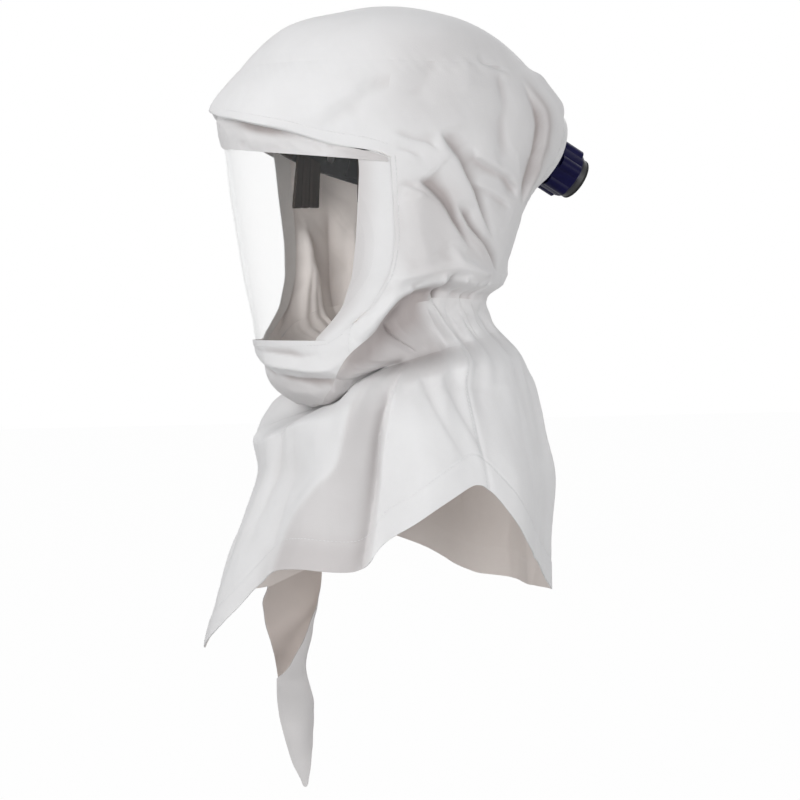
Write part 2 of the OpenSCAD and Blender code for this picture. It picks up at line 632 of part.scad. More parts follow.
// Air path: a flat duct over the head, fed by the plenum behind the inlet
duct_mid = 8;
duct_half = back_reach - 32;
duct_rise = crown_h - 22;
duct_from = 21;
duct_to = 148;
function squared(t) = sign(t) * sqrt(abs(t));
function duct_centre(a) = [0, duct_mid + duct_half * cos(a), duct_rise * sin(a)];
function duct_normal(a) = let (n = [0, cos(a) / duct_half, sin(a) / duct_rise]) n / norm(n);
module air_duct() {
    steps = 16;
    round_n = 20;
    function duct_point(a, u) = duct_centre(a) - [duct_w / 2 * squared(cos(u)), 0, 0]
        + duct_normal(a) * (duct_t / 2 * squared(sin(u)));
    color(charcoal) sheet([for (i = [0 : steps]) [for (j = [0 : round_n - 1])
        duct_point(mix(duct_from, duct_to, i / steps), 360 * j / round_n + 9)]], duct_wall, wrap = true);
}

saddle_w = 12;
module duct_saddle() {
    seat_y = rear_y * cos(band_tilt) + stud_top * sin(band_tilt);
    seat_z = stud_top * cos(band_tilt) - rear_y * sin(band_tilt);
    a = acos((seat_y - duct_mid) / duct_half);
    under = duct_centre(a) - duct_normal(a) * (duct_t / 2);
    color(charcoal) at_rear() translate([-saddle_w, -saddle_w / 2, stud_top + 0.2])
        cube([2 * saddle_w, saddle_w, (under[2] - seat_z) * cos(band_tilt) - 1.5]);
}

flange_t = 2.5;
gasket_t = 1;
gasket_w = -fabric_t - 0.2 - gasket_t;
flange_w0 = gasket_w - 0.1 - flange_t;
tube_in = 10;
tube_low = flange_w0 - tube_in;
plenum_wall = 1.8;
mouth_gap = 0.8;
module duct_end(grow, high) {
    n = duct_normal(duct_from);
    translate(duct_centre(duct_from)) rotate([atan2(n[2], n[1]), 0, 0])
        translate([-duct_w / 2 - grow, -duct_t / 2 - grow, -2])
        cube([duct_w + 2 * grow, duct_t + 2 * grow, high]);
}
module inlet_plenum() {
    inner = tube_r + seat_gap;
    deep = tube_in + 8;
    color(charcoal) difference() {
        hull() {
            at_inlet() translate([0, 0, flange_w0 - 0.3 - deep])
                cylinder(r = inner + plenum_wall, h = deep);
            duct_end(mouth_gap + plenum_wall, 5);
        }
        hull() {
            at_inlet() translate([0, 0, flange_w0 + 1 - deep]) cylinder(r = inner, h = deep);
            duct_end(mouth_gap, 6);
        }
    }
}

module tube_ring(outer, inner, low, high) {
    translate([0, 0, low]) difference() {
        cylinder(r = outer, h = high - low, $fn = 96);
        translate([0, 0, -1]) cylinder(r = inner, h = high - low + 2, $fn = 96);
    }
}
collar_low = 6.4;
module inlet_flange() {
    color(black) at_inlet() difference() {
        union() {
            translate([0, 0, flange_w0]) cylinder(r = flange_r, h = flange_t, $fn = 96);
            translate([0, 0, tube_low]) cylinder(r = tube_r, h = tube_out - tube_low, $fn = 96);
        }
        translate([0, 0, tube_low - 1]) cylinder(r = bore_r, h = tube_out - tube_low + 2, $fn = 96);
    }
}
module inlet_gasket() {
    color(black) at_inlet() tube_ring(flange_r - 0.5, tube_r + 0.1, gasket_w, gasket_w + gasket_t);
}
module clamp_ring() color(navy) at_inlet() tube_ring(flange_r - 1, tube_r + 0.1, 0.3, collar_low - 0.3);
module lock_collar() {
    lobe_r = 7;
    lobe_at = tube_r - 1.5;
    color(navy) at_inlet() difference() {
        union() {
            translate([0, 0, collar_low]) cylinder(r = tube_r + 2.6, h = collar_len, $fn = 96);
            for (i = [0 : collar_lobes - 1]) rotate([0, 0, 360 * i / collar_lobes])
                translate([lobe_at, 0, collar_low + 2]) cylinder(r = lobe_r, h = collar_len - 3);
        }
        translate([0, 0, collar_low - 1]) cylinder(r = tube_r + run_gap, h = collar_len + 2, $fn = 96);
    }
}
module snap_ring() {
    low = collar_low + collar_len + 0.3;
    color(steel) at_inlet() tube_ring(tube_r + 2, tube_r + 0.05, low, low + 1.6);
}
module hose_seal() color(black) at_inlet() tube_ring(tube_r, bore_r + 0.2, tube_out + 0.1, tube_out + 2.1);

crown_panel();
brow_panel();
left_side_panel();
right_side_panel();
back_panel();
chin_panel();
neck_yoke();
neck_elastic();
front_bib();
back_bib();
visor();
visor_top_band();
left_visor_tape();
right_visor_tape();
brow_band();
brow_pad();
left_strap();
right_strap();
band_rivets();
left_temple_pad();
right_temple_pad();
cross_strap();
crown_strap();
crown_stud();
left_hanger();
right_hanger();
duct_saddle();
ratchet_housing();
ratchet_cover();
nape_pad();
left_rack();
right_rack();
ratchet_pinion();
friction_washer();
ratchet_knob();
knob_screw();
air_duct();
inlet_plenum();
inlet_flange();
inlet_gasket();
clamp_ring();
lock_collar();
snap_ring();
hose_seal();
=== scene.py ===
import math
import bmesh
import bpy
import numpy as np
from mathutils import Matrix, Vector, noise


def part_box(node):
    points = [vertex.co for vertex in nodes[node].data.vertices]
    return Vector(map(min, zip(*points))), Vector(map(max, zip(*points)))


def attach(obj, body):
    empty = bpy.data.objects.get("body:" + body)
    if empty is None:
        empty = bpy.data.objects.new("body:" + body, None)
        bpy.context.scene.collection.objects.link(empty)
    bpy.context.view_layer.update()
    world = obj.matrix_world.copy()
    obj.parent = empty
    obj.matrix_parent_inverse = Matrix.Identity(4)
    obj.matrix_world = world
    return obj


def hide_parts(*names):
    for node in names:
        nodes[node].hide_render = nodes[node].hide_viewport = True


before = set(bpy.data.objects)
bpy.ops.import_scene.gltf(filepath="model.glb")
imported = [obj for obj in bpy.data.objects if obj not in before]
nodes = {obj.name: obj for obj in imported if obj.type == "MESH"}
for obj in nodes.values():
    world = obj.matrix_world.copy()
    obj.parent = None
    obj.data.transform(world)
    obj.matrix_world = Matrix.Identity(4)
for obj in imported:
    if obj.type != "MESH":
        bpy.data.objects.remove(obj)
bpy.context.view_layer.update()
mm = 0.001
print("frame loaded,", len(nodes), "CAD nodes")

# Camera at the photograph's angle, and a plain pale studio
shot = {"azimuth": 63, "elevation": 2, "distance": 2.2, "target": (0, 0.015, -0.204), "lens": 116.47,
        "clip": 40}
studio = {
    "floorZ": -0.5575, "floorSize": 14, "floorGlow": 0.985,
    "paper": (0.5, 0.5, 0.5), "paperGrain": (0.54, 0.54, 0.54),
    "sky": (0.96, 0.97, 1.0), "skyStrength": 0.29,
    # side, towards camera, height above the target, size, watts
    "lamps": {
        "keyLamp": (-1.2, 0.9, 0.8, 0.8, 10.0),
        "topLamp": (-0.1, -0.1, 2.0, 1.4, 8.0),
        "rightLamp": (1.4, 1.0, -0.2, 1.2, 16.0),
        "fillLamp": (-0.55, 1.95, 0.0, 0.8, 13.0),
        "backLamp": (0.9, -1.6, 0.9, 1.4, 8.0),
    },
}


class Wire:
    def __init__(self, tree, socket=None):
        self.tree = tree
        self.socket = socket

    def node(self, kind, settings=(), values=(), out=0):
        made = self.tree.nodes.new("ShaderNode" + kind)
        for key, value in dict(settings).items():
            setattr(made, key, value)
        for key, value in dict(values).items():
            if isinstance(value, Wire):
                self.tree.links.new(value.socket, made.inputs[key])
            else:
                made.inputs[key].default_value = value
        return Wire(self.tree, made.outputs[out] if made.outputs else None)

    def maths(self, operation, *others):
        terms = dict(enumerate((self, *others)))
        return self.node("Math", {"operation": operation}, terms)

    def __add__(self, other):
        return self.maths("ADD", other)

    def __mul__(self, other):
        return self.maths("MULTIPLY", other)

    def __sub__(self, other):
        return self.maths("SUBTRACT", other)

    def __rsub__(self, other):
        return self.node("Math", {"operation": "SUBTRACT"}, {0: other, 1: self})

    def __pow__(self, other):
        return self.maths("POWER", other)

    __radd__ = __add__
    __rmul__ = __mul__

    def between(self, low, high):          # 0 below low, 1 above high
        values = {"Value": self, "From Min": low, "From Max": high}
        return self.node("MapRange", {"interpolation_type": "SMOOTHSTEP"}, values)

    def tint(self, first, second):         # colour from first to second as this value goes from 0 to 1
        settings = {"data_type": "RGBA", "clamp_factor": True}
        ends = {key: tone if isinstance(tone, Wire) else (*tone, 1)
                for key, tone in ((6, first), (7, second))}
        return self.node("Mix", settings, {0: self, **ends}, out=2)

    def noise(self, scale, detail=2.0, stretch=None, rough=0.5):
        place = self
        if stretch:
            place = self.node("Mapping", {}, {"Vector": self, "Scale": stretch})
        values = {"Vector": place, "Scale": scale, "Detail": detail, "Roughness": rough}
        return self.node("TexNoise", {}, values)


def deselect():
    bpy.ops.object.select_all(action="DESELECT")


def makeStudio():
    a, e = math.radians(shot["azimuth"]), math.radians(shot["elevation"])
    target = Vector(shot["target"])
    back = Vector((math.sin(a) * math.cos(e), -math.cos(a) * math.cos(e), math.sin(e)))
    right = Vector((math.cos(a), math.sin(a), 0))
    deselect()
    aim = back.to_track_quat("Z", "Y").to_euler()
    bpy.ops.object.camera_add(location=target + back * shot["distance"], rotation=aim)
    camera = bpy.context.object
    camera.name = "photoCamera"
    camera.data.lens = shot["lens"]
    camera.data.clip_end = shot["clip"]
    bpy.context.scene.camera = camera
    level = Vector((back.x, back.y, 0)).normalized()
    for name, (side, near, high, size, watts) in studio["lamps"].items():
        spot = target + right * side + level * near + Vector((0, 0, high))
        turn = (spot - target).to_track_quat("Z", "Y").to_euler()
        bpy.ops.object.light_add(type="AREA", location=spot, rotation=turn)
        lamp = bpy.context.object
        lamp.name = name
        lamp.data.size = size
        lamp.data.energy = watts
    deselect()
    bpy.ops.mesh.primitive_plane_add(size=studio["floorSize"], location=(0, 0, studio["floorZ"]))
    floor = bpy.context.object
    floor.name = "studioFloor"
    paper = bpy.data.materials.new("studioPaper")
    paper.use_nodes = True
    w = Wire(paper.node_tree)
    paper.node_tree.nodes.clear()
    grain = w.node("TexCoord", out="Object").noise(40, 3)
    matt = w.node("BsdfDiffuse", {}, {"Color": grain.tint(studio["paper"], studio["paperGrain"])})
    glow = w.node("Emission", {}, {"Color": (1, 1, 1, 1), "Strength": 1.0})
    share = seenRays(w) * studio["floorGlow"]
    w.node("OutputMaterial", {}, {"Surface": w.node("MixShader", {}, {0: share, 1: matt, 2: glow})})
    floor.data.materials.append(paper)
    world = bpy.context.scene.world or bpy.data.worlds.new("studioSky")
    bpy.context.scene.world = world
    world.use_nodes = True
    world.node_tree.nodes.clear()
    w = Wire(world.node_tree)
    sky = w.node("Background", {}, {"Color": (*studio["sky"], 1), "Strength": studio["skyStrength"]})
    white = w.node("Background", {}, {"Color": (1, 1, 1, 1), "Strength": 1.0})
    seen = w.node("MixShader", {}, {0: seenRays(w), 1: sky, 2: white})
    w.node("OutputWorld", {}, {"Surface": seen})
    bpy.context.scene.view_settings.view_transform = "Standard"


def seenRays(w):                           # rays that show the background itself
    path = w.node("LightPath").socket.node
    seen = [Wire(w.tree, path.outputs[n]) for n in ("Is Camera Ray", "Is Glossy Ray", "Is Transmission Ray")]
    return seen[0].maths("MAXIMUM", seen[1]).maths("MAXIMUM", seen[2])


makeStudio()
print("studio ready")


# Finishes
def finish(name, paint):
    made = bpy.data.materials.new(name)
    made.use_nodes = True
    tree = made.node_tree
    shader = tree.nodes["Principled BSDF"]
    w = Wire(tree)
    spot = w.node("TexCoord", out="Object")
    look = paint(spot)
    if "height" in look:
        values = {"Height": look.pop("height"), "Strength": look.pop("strength"),
                  "Distance": look.pop("deep")}
        look["Normal"] = w.node("Bump", {}, values)
    for key, value in look.items():
        if isinstance(value, Wire):
            tree.links.new(value.socket, shader.inputs[key])
        else:
            shader.inputs[key].default_value = value
    return made


# crease is the colour of painted shade, laid on where a piece's PaintedShadeTone attribute is high
hoodCloth = {"light": (0.80, 0.797, 0.798), "dark": (0.75, 0.744, 0.744), "crease": (0.44, 0.40, 0.392),
             "fibre": 1300, "bond": 620}
# the inside face: the same white cloth warmed towards the brown of the shade inside the hood, so its tint is
# painted shade; its crease colour is painted shade too
liningShaded = {"light": (0.93, 0.87, 0.83), "dark": (0.86, 0.80, 0.76), "crease": (0.55, 0.485, 0.45),
          "fibre": 1300, "bond": 620}


def nonWoven(cloth):                       # pressed fibre cloth: random fibres, small bond dots, cloudy tone, and painted shade from the piece's attribute
    def paint(spot):
        cloud = spot.noise(14, 4, rough=0.62)
        fibre = spot.noise(cloth["fibre"], 4, rough=0.7)
        strand = spot.noise(420, 2, stretch=(1.0, 1.0, 0.22))
        cell = spot.node("TexVoronoi", {"feature": "F1"}, {"Vector": spot, "Scale": cloth["bond"]})
        dot = cell.between(0.12, 0.42)
        tone = (cloud * 0.7 + fibre * 0.3).between(0.28, 0.72)
        # painted shade: the piece's PaintedShadeTone attribute tints the cloth towards its crease colour, a
        # darker warm grey that stands for shade
        crease = spot.node("Attribute", {"attribute_name": "PaintedShadeTone"}, out="Fac")
        plain = tone.tint(cloth["dark"], cloth["light"])
        return {
            "Base Color": crease.tint(plain, cloth["crease"]),
            "Roughness": 0.62 + strand * 0.22,
            "height": fibre * 0.5 + strand * 0.35 + dot * 0.4, "strength": 0.35, "deep": 0.00022,
            "Specular IOR Level": 0.32, "Sheen Weight": 0.12, "Sheen Roughness": 0.5,
        }
    return paint


def wovenTape(light, dark, pitch, depth):  # a ribbon with its weave along its own UV map
    def paint(spot):
        place = spot.node("UVMap", {"uv_map": "ClothUV"})
        axes = spot.node("SeparateXYZ", {}, {0: place}).socket.node
        across, along = (Wire(spot.tree, axes.outputs[i]) for i in (0, 1))
        turn = 2 * math.pi / pitch
        weft = (along * turn).maths("SINE")
        warp = (across * turn + (along * turn * 0.5).maths("SIGN") * math.pi).maths("SINE")
        weave = weft * 0.5 + warp * 0.5
        cloud = spot.noise(60, 3)
        return {
            "Base Color": (weave * 0.25 + cloud).between(0.2, 0.85).tint(dark, light),
            "Roughness": 0.7 + cloud * 0.15,
            "height": weave, "strength": 0.5, "deep": depth,
            "Specular IOR Level": 0.3,
        }
    return paint


def moulded(light, dark, rough, grain, gloss=0.5):   # plastic with fine grain, faint flow marks and scuffs
    def paint(spot):
        spark = spot.noise(grain, 2)
        flow = spot.noise(26, 3, stretch=(1.0, 1.0, 3.0))
        scuff = spot.noise(230, 5, stretch=(0.25, 1.0, 1.0), rough=0.75).between(0.6, 0.78)
        return {
            "Base Color": (flow * 0.7 + scuff * 0.5).between(0.2, 1.0).tint(dark, light),
            "Roughness": rough + spark * 0.12 + scuff * 0.14,
            "height": spark + scuff * 0.3, "strength": 0.25, "deep": 0.00012,
            "Specular IOR Level": gloss,
        }
    return paint


def foamed(light, dark, cell):             # open foam under a thin knit cover
    def paint(spot):
        pore = spot.node("TexVoronoi", {"feature": "F1"}, {"Vector": spot, "Scale": cell})
        cloud = spot.noise(70, 4)
        hole = pore.between(0.1, 0.55)
        return {
            "Base Color": (hole * 0.6 + cloud * 0.4).between(0.15, 0.9).tint(dark, light),
            "Roughness": 0.88 + cloud * 0.1,
            "height": hole, "strength": 0.6, "deep": 0.0003, "Specular IOR Level": 0.2,
        }
    return paint


def brushed(dark, light):
    def paint(spot):
        line = spot.noise(700, 4, stretch=(0.06, 1.0, 1.0))
        cloud = spot.noise(90, 3)
        return {
            "Base Color": cloud.between(0.3, 0.7).tint(dark, light),
            "Roughness": 0.22 + line * 0.22, "Metallic": 1.0,
            "height": line, "strength": 0.15, "deep": 0.00005,
        }
    return paint


def clearFilm(spot):
    facing = spot.node("LayerWeight", {}, {"Blend": 0.35}, out=1)
    haze = spot.noise(9, 4, rough=0.6)
    wipe = spot.noise(300, 3, stretch=(1.0, 1.0, 0.08)).between(0.62, 0.8)
    return {
        "Base Color": (0.9, 0.925, 0.94, 1),
        "Alpha": 0.012 + facing ** 3 * 0.42 + haze * 0.012 + wipe * 0.006,
        "Roughness": 0.05 + haze * 0.06, "IOR": 1.49, "Specular IOR Level": 0.5,
    }


finishes = {
    "hoodCloth": nonWoven(hoodCloth),
    "hoodLining": nonWoven(liningShaded),
    "tapeBack": wovenTape((0.88, 0.85, 0.82), (0.82, 0.785, 0.755), 0.0011, 0.0001),
    "darkWeb": wovenTape((0.10, 0.10, 0.105), (0.045, 0.045, 0.05), 0.0016, 0.0003),
    "sewingThread": wovenTape((0.84, 0.84, 0.845), (0.66, 0.66, 0.665), 0.0006, 0.00008),
    "blackMoulding": moulded((0.02, 0.0195, 0.02), (0.008, 0.008, 0.0085), 0.42, 1500),
    "greyMoulding": moulded((0.30, 0.31, 0.325), (0.2, 0.207, 0.22), 0.5, 1200),
    "navyMoulding": moulded((0.012, 0.013, 0.09), (0.003, 0.0025, 0.03), 0.3, 1400, 0.08),
    "softRubber": moulded((0.03, 0.03, 0.03), (0.012, 0.012, 0.012), 0.7, 900, 0.3),
    "padFoam": foamed((0.046, 0.032, 0.024), (0.015, 0.010, 0.0075), 900),
    "brushedSteel": brushed((0.5, 0.51, 0.53), (0.66, 0.67, 0.69)),
    "bluedSteel": brushed((0.02, 0.02, 0.024), (0.045, 0.046, 0.055)),
    "clearFilm": clearFilm,
}
finishes = {name: finish(name, paint) for name, paint in finishes.items()}
print("finishes made:", len(finishes))


# Sums that the cloth pieces share
def ease(t):
    c = np.clip(t, 0.0, 1.0)
    return c * c * (3 - 2 * c)


def mix(a, b, t):
    return a + (b - a) * t


def softTable(pairs, spread):              # straight runs between the pairs, with their corners rounded
    x, y = np.array(pairs, float).T
    fine = np.linspace(x[0] - 3 * spread, x[-1] + 3 * spread, 1500)
    offsets = np.linspace(-2.5, 2.5, 31)
    weights = np.exp(-0.5 * offsets ** 2)
    soft = sum(k * np.interp(fine + o * spread, x, y) for o, k in zip(offsets, weights)) / weights.sum()
    return lambda at: np.interp(at, fine, soft)


def cubicThrough(x, y, at):                # natural cubic spline through rows of y
    n, h = len(x), np.diff(x)
    grid, right = np.eye(n), np.zeros_like(y)
    for i in range(1, n - 1):
        grid[i, i - 1:i + 2] = h[i - 1], 2 * (h[i - 1] + h[i]), h[i]
        right[i] = 6 * ((y[i + 1] - y[i]) / h[i] - (y[i] - y[i - 1]) / h[i - 1])
    c = np.linalg.solve(grid, right)
    k = np.clip(np.searchsorted(x, at) - 1, 0, n - 2)
    a, b, s = (at - x[k])[:, None], (x[k + 1] - at)[:, None], h[k][:, None]
    return (c[k] * b ** 3 + c[k + 1] * a ** 3) / (6 * s) + (y[k] / s - c[k] * s / 6) * b \
        + (y[k + 1] / s - c[k + 1] * s / 6) * a


def cloudAt(points, size, shift=0.0):      # smooth noise of that size in mm, from -1 to 1
    flat = points.reshape(-1, 3) / size + shift
    return np.array([noise.noise(Vector(p)) for p in flat]).reshape(points.shape[:-1])


def creased(points, size, shift, level=0.4):   # noise with sharp ridges, like small creases
    return level - np.abs(cloudAt(points, size, shift))


def gridNormals(g, wrap=False):            # outward normals of rows running down, columns towards the left
    down = np.gradient(g, axis=0)
    if wrap:
        along = np.roll(g, -1, axis=1) - np.roll(g, 1, axis=1)
    else:
        along = np.gradient(g, axis=1)
    n = np.cross(down, along)
    return n / np.maximum(np.linalg.norm(n, axis=-1, keepdims=True), 1e-9)


def hollows(grid, wrap, reach, full):      # painted shade of the outer and inner face, 1 where that face lies full mm sunk
    soft = grid.copy()
    for axis in (0, 1):
        for turn in range(3):
            pad = [(0, 0)] * 3
            pad[axis] = (reach, reach)
            wide = np.pad(soft, pad, mode="wrap" if wrap and axis else "edge")
            total = np.cumsum(wide, axis=axis)
            lead = np.zeros_like(np.take(total, [0], axis=axis))
            total = np.concatenate([lead, total], axis=axis)
            n = grid.shape[axis]
            high, low = (np.take(total, np.arange(n) + k, axis=axis) for k in (2 * reach + 1, 0))
            soft = (high - low) / (2 * reach + 1)
    sunk = ((soft - grid) * gridNormals(grid, wrap)).sum(axis=-1)
    return np.clip(sunk / full, 0, 1), np.clip(-sunk / full, 0, 1)


def foldField(phi, z, folds, radius):      # pushes of all folds at places given by angle and height
    u, total = np.radians(phi) * radius, np.zeros(phi.shape)
    for path, wide, deep, *lap in folds:
        line = np.array(path, float)
        x, y = np.radians(line[:, 0]) * radius, line[:, 1]
        best, along, hand = np.full(phi.shape, 1e9), np.zeros(phi.shape), np.ones(phi.shape)
        for i in range(len(x) - 1):
            dx, dy = x[i + 1] - x[i], y[i + 1] - y[i]
            k = np.clip(((u - x[i]) * dx + (z - y[i]) * dy) / (dx * dx + dy * dy), 0, 1)
            d = np.hypot(u - x[i] - k * dx, z - y[i] - k * dy)
            near = d < best
            best, along = np.where(near, d, best), np.where(near, (i + k) / (len(x) - 1), along)
            hand = np.where(near, np.sign(dx * (z - y[i]) - dy * (u - x[i])), hand)
        if lap:                            # one side of the line stands over the other
            push = -deep * hand * np.tanh(best / lap[0]) * np.exp(-best / wide)
            push = np.where(push > 0, push * 0.5, push)
        else:
            push = deep * np.exp(-1.5 * (np.sqrt((best / wide) ** 2 + 0.06) - 0.245))
        total += push * ease(along / 0.3) * ease((1 - along) / 0.3)
    return total


def gridFaces(rows, cols, wrap=False):
    i, j = np.meshgrid(np.arange(rows - 1), np.arange(cols if wrap else cols - 1), indexing="ij")
    i, j = i.ravel(), j.ravel()
    k = (j + 1) % cols
    return np.stack([i * cols + j, i * cols + k, (i + 1) * cols + k, (i + 1) * cols + j], -1)


def mend(mesh, *jobs):
    shape = bmesh.new()
    shape.from_mesh(mesh)
    for job in jobs:
        job(shape)
    shape.to_mesh(mesh)
    shape.free()


def mergeDoubles(shape):
    bmesh.ops.remove_doubles(shape, verts=shape.verts, dist=1e-6)


def dropSlivers(shape):
    bmesh.ops.dissolve_degenerate(shape, edges=shape.edges, dist=1e-7)


def turnOut(shape):
    bmesh.ops.recalc_face_normals(shape, faces=shape.faces)


def pick(piece):
    deselect()
    piece.select_set(True)
    bpy.context.view_layer.objects.active = piece


def smoothAll(piece):
    for face in piece.data.polygons:
        face.use_smooth = True


def newPiece(name, points, faces, uv, looks):   # an object from points in mm, with flat map and finishes
    mesh = bpy.data.meshes.new(name)
    mesh.from_pydata(points * mm, [], faces)
    layer = mesh.uv_layers.new(name="ClothUV")
    corner = np.zeros(len(mesh.loops), np.int32)
    mesh.loops.foreach_get("vertex_index", corner)
    layer.data.foreach_set("uv", (uv[corner] * mm).astype(np.float32).ravel())
    for look in looks:
        mesh.materials.append(finishes[look])
    piece = bpy.data.objects.new(name, mesh)
    bpy.context.scene.collection.objects.link(piece)
    return piece


smoothBelow = 52                           # degrees: cloth edges that turn more than this stay sharp


# A sheet with its thickness, and painted shade on its two faces
def clothPiece(name, points, normals, faces, uv, thick, looks, tone=None, inner=None):
    used, faces = np.unique(faces, return_inverse=True)
    faces = faces.reshape(-1, 4)
    paintedShades = [np.zeros(len(used)) if t is None else np.clip(t.ravel()[used], 0, 1) for t in (tone, inner)]
    points, normals, uv = points.reshape(-1, 3)[used], normals.reshape(-1, 3)[used], uv.reshape(-1, 2)[used]
    n = len(points)
    edges = np.concatenate([faces[:, [i, (i + 1) % 4]] for i in range(4)])
    key = np.sort(edges, axis=1)
    first, count = np.unique(key[:, 0] * n + key[:, 1], return_index=True, return_counts=True)[1:]
    rim = edges[first[count == 1]]
    rim = np.stack([rim[:, 1], rim[:, 0], rim[:, 0] + n, rim[:, 1] + n], -1)
    allFaces = np.concatenate([faces, faces[:, ::-1] + n, rim]).tolist()
    bothSides = np.concatenate([points, points - normals * thick])
    piece = newPiece(name, bothSides, allFaces, np.concatenate([uv, uv]), looks)
    slots = np.repeat([0, 1, 0], [len(faces), len(faces), len(rim)]).astype(np.int32)
    piece.data.polygons.foreach_set("material_index", slots)
    # painted shade of each point, for the cloth's finish to darken it
    crease = piece.data.attributes.new("PaintedShadeTone", "FLOAT", "POINT")
    crease.data.foreach_set("value", np.concatenate(paintedShades).astype(np.float32))
    mend(piece.data, mergeDoubles, dropSlivers)
    pick(piece)
    bpy.ops.object.shade_smooth_by_angle(angle=math.radians(smoothBelow))
    return piece


# Shape of the hood: level sections as shares of its sizes, and where its panels end
hood = {
    "crown": 126.0, "chin": 208.0, "halfWidth": 112.0, "brow": 148.0, "back": 163.0,
    "seamZ": 73.08, "backSeam": 156.0, "chinSeam": 50.0,
    "peakEnd": 70.0, "peakFrontZ": 36.54, "peakSideZ": -4.0,
    "overhang": 9.0, "visorBottom": -152.5, "thick": 1.0, "shadeRadius": 102,
    "sideDegree": 1.95, "backDegree": 2.4,  # mm for one degree round the sides and the back
    "inlet": (0, 153.633, 5), "inletTilt": 28, "flatR": 29.5, "flatBlend": 19.7, "inletHole": 20.5,
    "sections": [                          # height, half width, front and back
        [1.00, 0.0, 0.0, 0.0], [0.985, 0.29, 0.19, 0.17], [0.95, 0.50, 0.32, 0.28],
        [0.89, 0.70, 0.51, 0.42], [0.775, 0.87, 0.67, 0.60], [0.58, 0.965, 0.84, 0.80],
        [0.45, 0.99, 0.93, 0.895], [0.33, 1.0, 0.97, 0.975], [0.19, 1.0, 0.98, 0.99],
        [0.0, 1.0, 0.94, 0.93], [-0.12, 1.0, 0.90, 0.80], [-0.28, 0.99, 0.845, 0.685],
        [-0.43, 0.965, 0.81, 0.625], [-0.56, 0.915, 0.79, 0.575], [-0.66, 0.88, 0.775, 0.55],
        [-0.76, 0.85, 0.765, 0.53], [-0.87, 0.79, 0.70, 0.50], [-0.94, 0.73, 0.62, 0.47],
        [-1.0, 0.62, 0.48, 0.43]],
}


def hoodLevels():
    s = np.array(hood["sections"])
    z = np.where(s[:, 0] > 0, s[:, 0] * hood["crown"], s[:, 0] * hood["chin"])
    body = np.column_stack([z, s[:, 1] * hood["halfWidth"], s[:, 2] * hood["brow"], s[:, 3] * hood["back"]])
    # mirrored over the crown, so that it is round
    body = np.concatenate([body[2:0:-1] * [1, -1, -1, -1], body])
    u = np.concatenate([[0], np.cumsum(np.linalg.norm(np.diff(body[:, :2], axis=0), axis=1))])
    u -= u[2]
    fine = np.linspace(0, u[-1], 900)
    return cubicThrough(u, body, fine)


levels = hoodLevels()
levelUp = levels[::-1]
inletAt = np.array(hood["inlet"], float)
inletAxis = np.array([0, math.cos(math.radians(hood["inletTilt"])),
                      -math.sin(math.radians(hood["inletTilt"]))])
v0 = hood["visorBottom"]
seamTop = v0 + 9                           # where the chin's seams start
edgeAngle = softTable([[v0 - 40, 50], [seamTop, 50], [v0 + 26, 61], [v0 + 52, 68], [v0 + 80, 70],
                       [200, 70]], 5)
hemShare = softTable([[-50, 1], [0, 1], [24, 0.985], [40, 0.92], [50, 0.80], [60, 0.725], [72, 0.65],
                      [84, 0.605], [100, 0.585], [230, 0.58]], 3)
chinTop = softTable([[0, v0], [42, v0], [50, seamTop], [60, seamTop]], 1.2)
lipOut = softTable([[0, 0], [0.25, 0.1], [0.5, 0.34], [0.75, 0.7], [0.92, 0.95], [1, 1]], 0.04)


def signed(phi):
    return np.where(phi > 180, phi - 360, phi)


def inletRadius(p):
    q = p - inletAt
    w = q @ inletAxis
    return w, np.linalg.norm(q - w[..., None] * inletAxis, axis=-1)


def hoodPoint(phi, z, out=0.0):
    a = np.radians(phi)
    wide, front, back = (np.interp(z, levelUp[:, 0], levelUp[:, i]) for i in (1, 2, 3))
    reach = np.where(np.cos(a) > 0, front, back)
    p = np.stack([(wide + out) * np.sin(a), -(reach + out) * np.cos(a), z + 0 * a], -1)
    w, r = inletRadius(p)
    k = np.where(w < -60, 1.0, ease((r - hood["flatR"]) / hood["flatBlend"]))
    return p + inletAxis * (w * (k - 1))[..., None]


def hemZ(phi):
    return -hood["chin"] * hemShare(np.abs(signed(phi)))


def peakZ(phi):
    share = np.clip(np.abs(signed(phi)) / hood["peakEnd"], 0, 1) ** 1.6
    return mix(hood["peakFrontZ"], hood["peakSideZ"], share)


def lipZ(phi):                             # the peak's edge, which stands higher on the wearer's right
    p = signed(phi)
    lower = 5.5 * ease((p + 10) / 16) * ease((68 - p) / 22)
    return peakZ(phi) + 8.5 * ease((-4 - p) / 20) + 7 * ease((-34 - p) / 26) - lower


def peakOut(phi):
    p = signed(phi)
    return (hood["overhang"] - 3 * ease((-8 - p) / 16)) * (1 - ease((np.abs(p) - 20) / 50))


def outsideVisor(phi, z):                  # rough distance in mm from the visor's opening
    p = np.abs(signed(phi))
    return np.maximum.reduce([(p - edgeAngle(z)) * hood["sideDegree"], z - lipZ(phi), chinTop(p) - z])


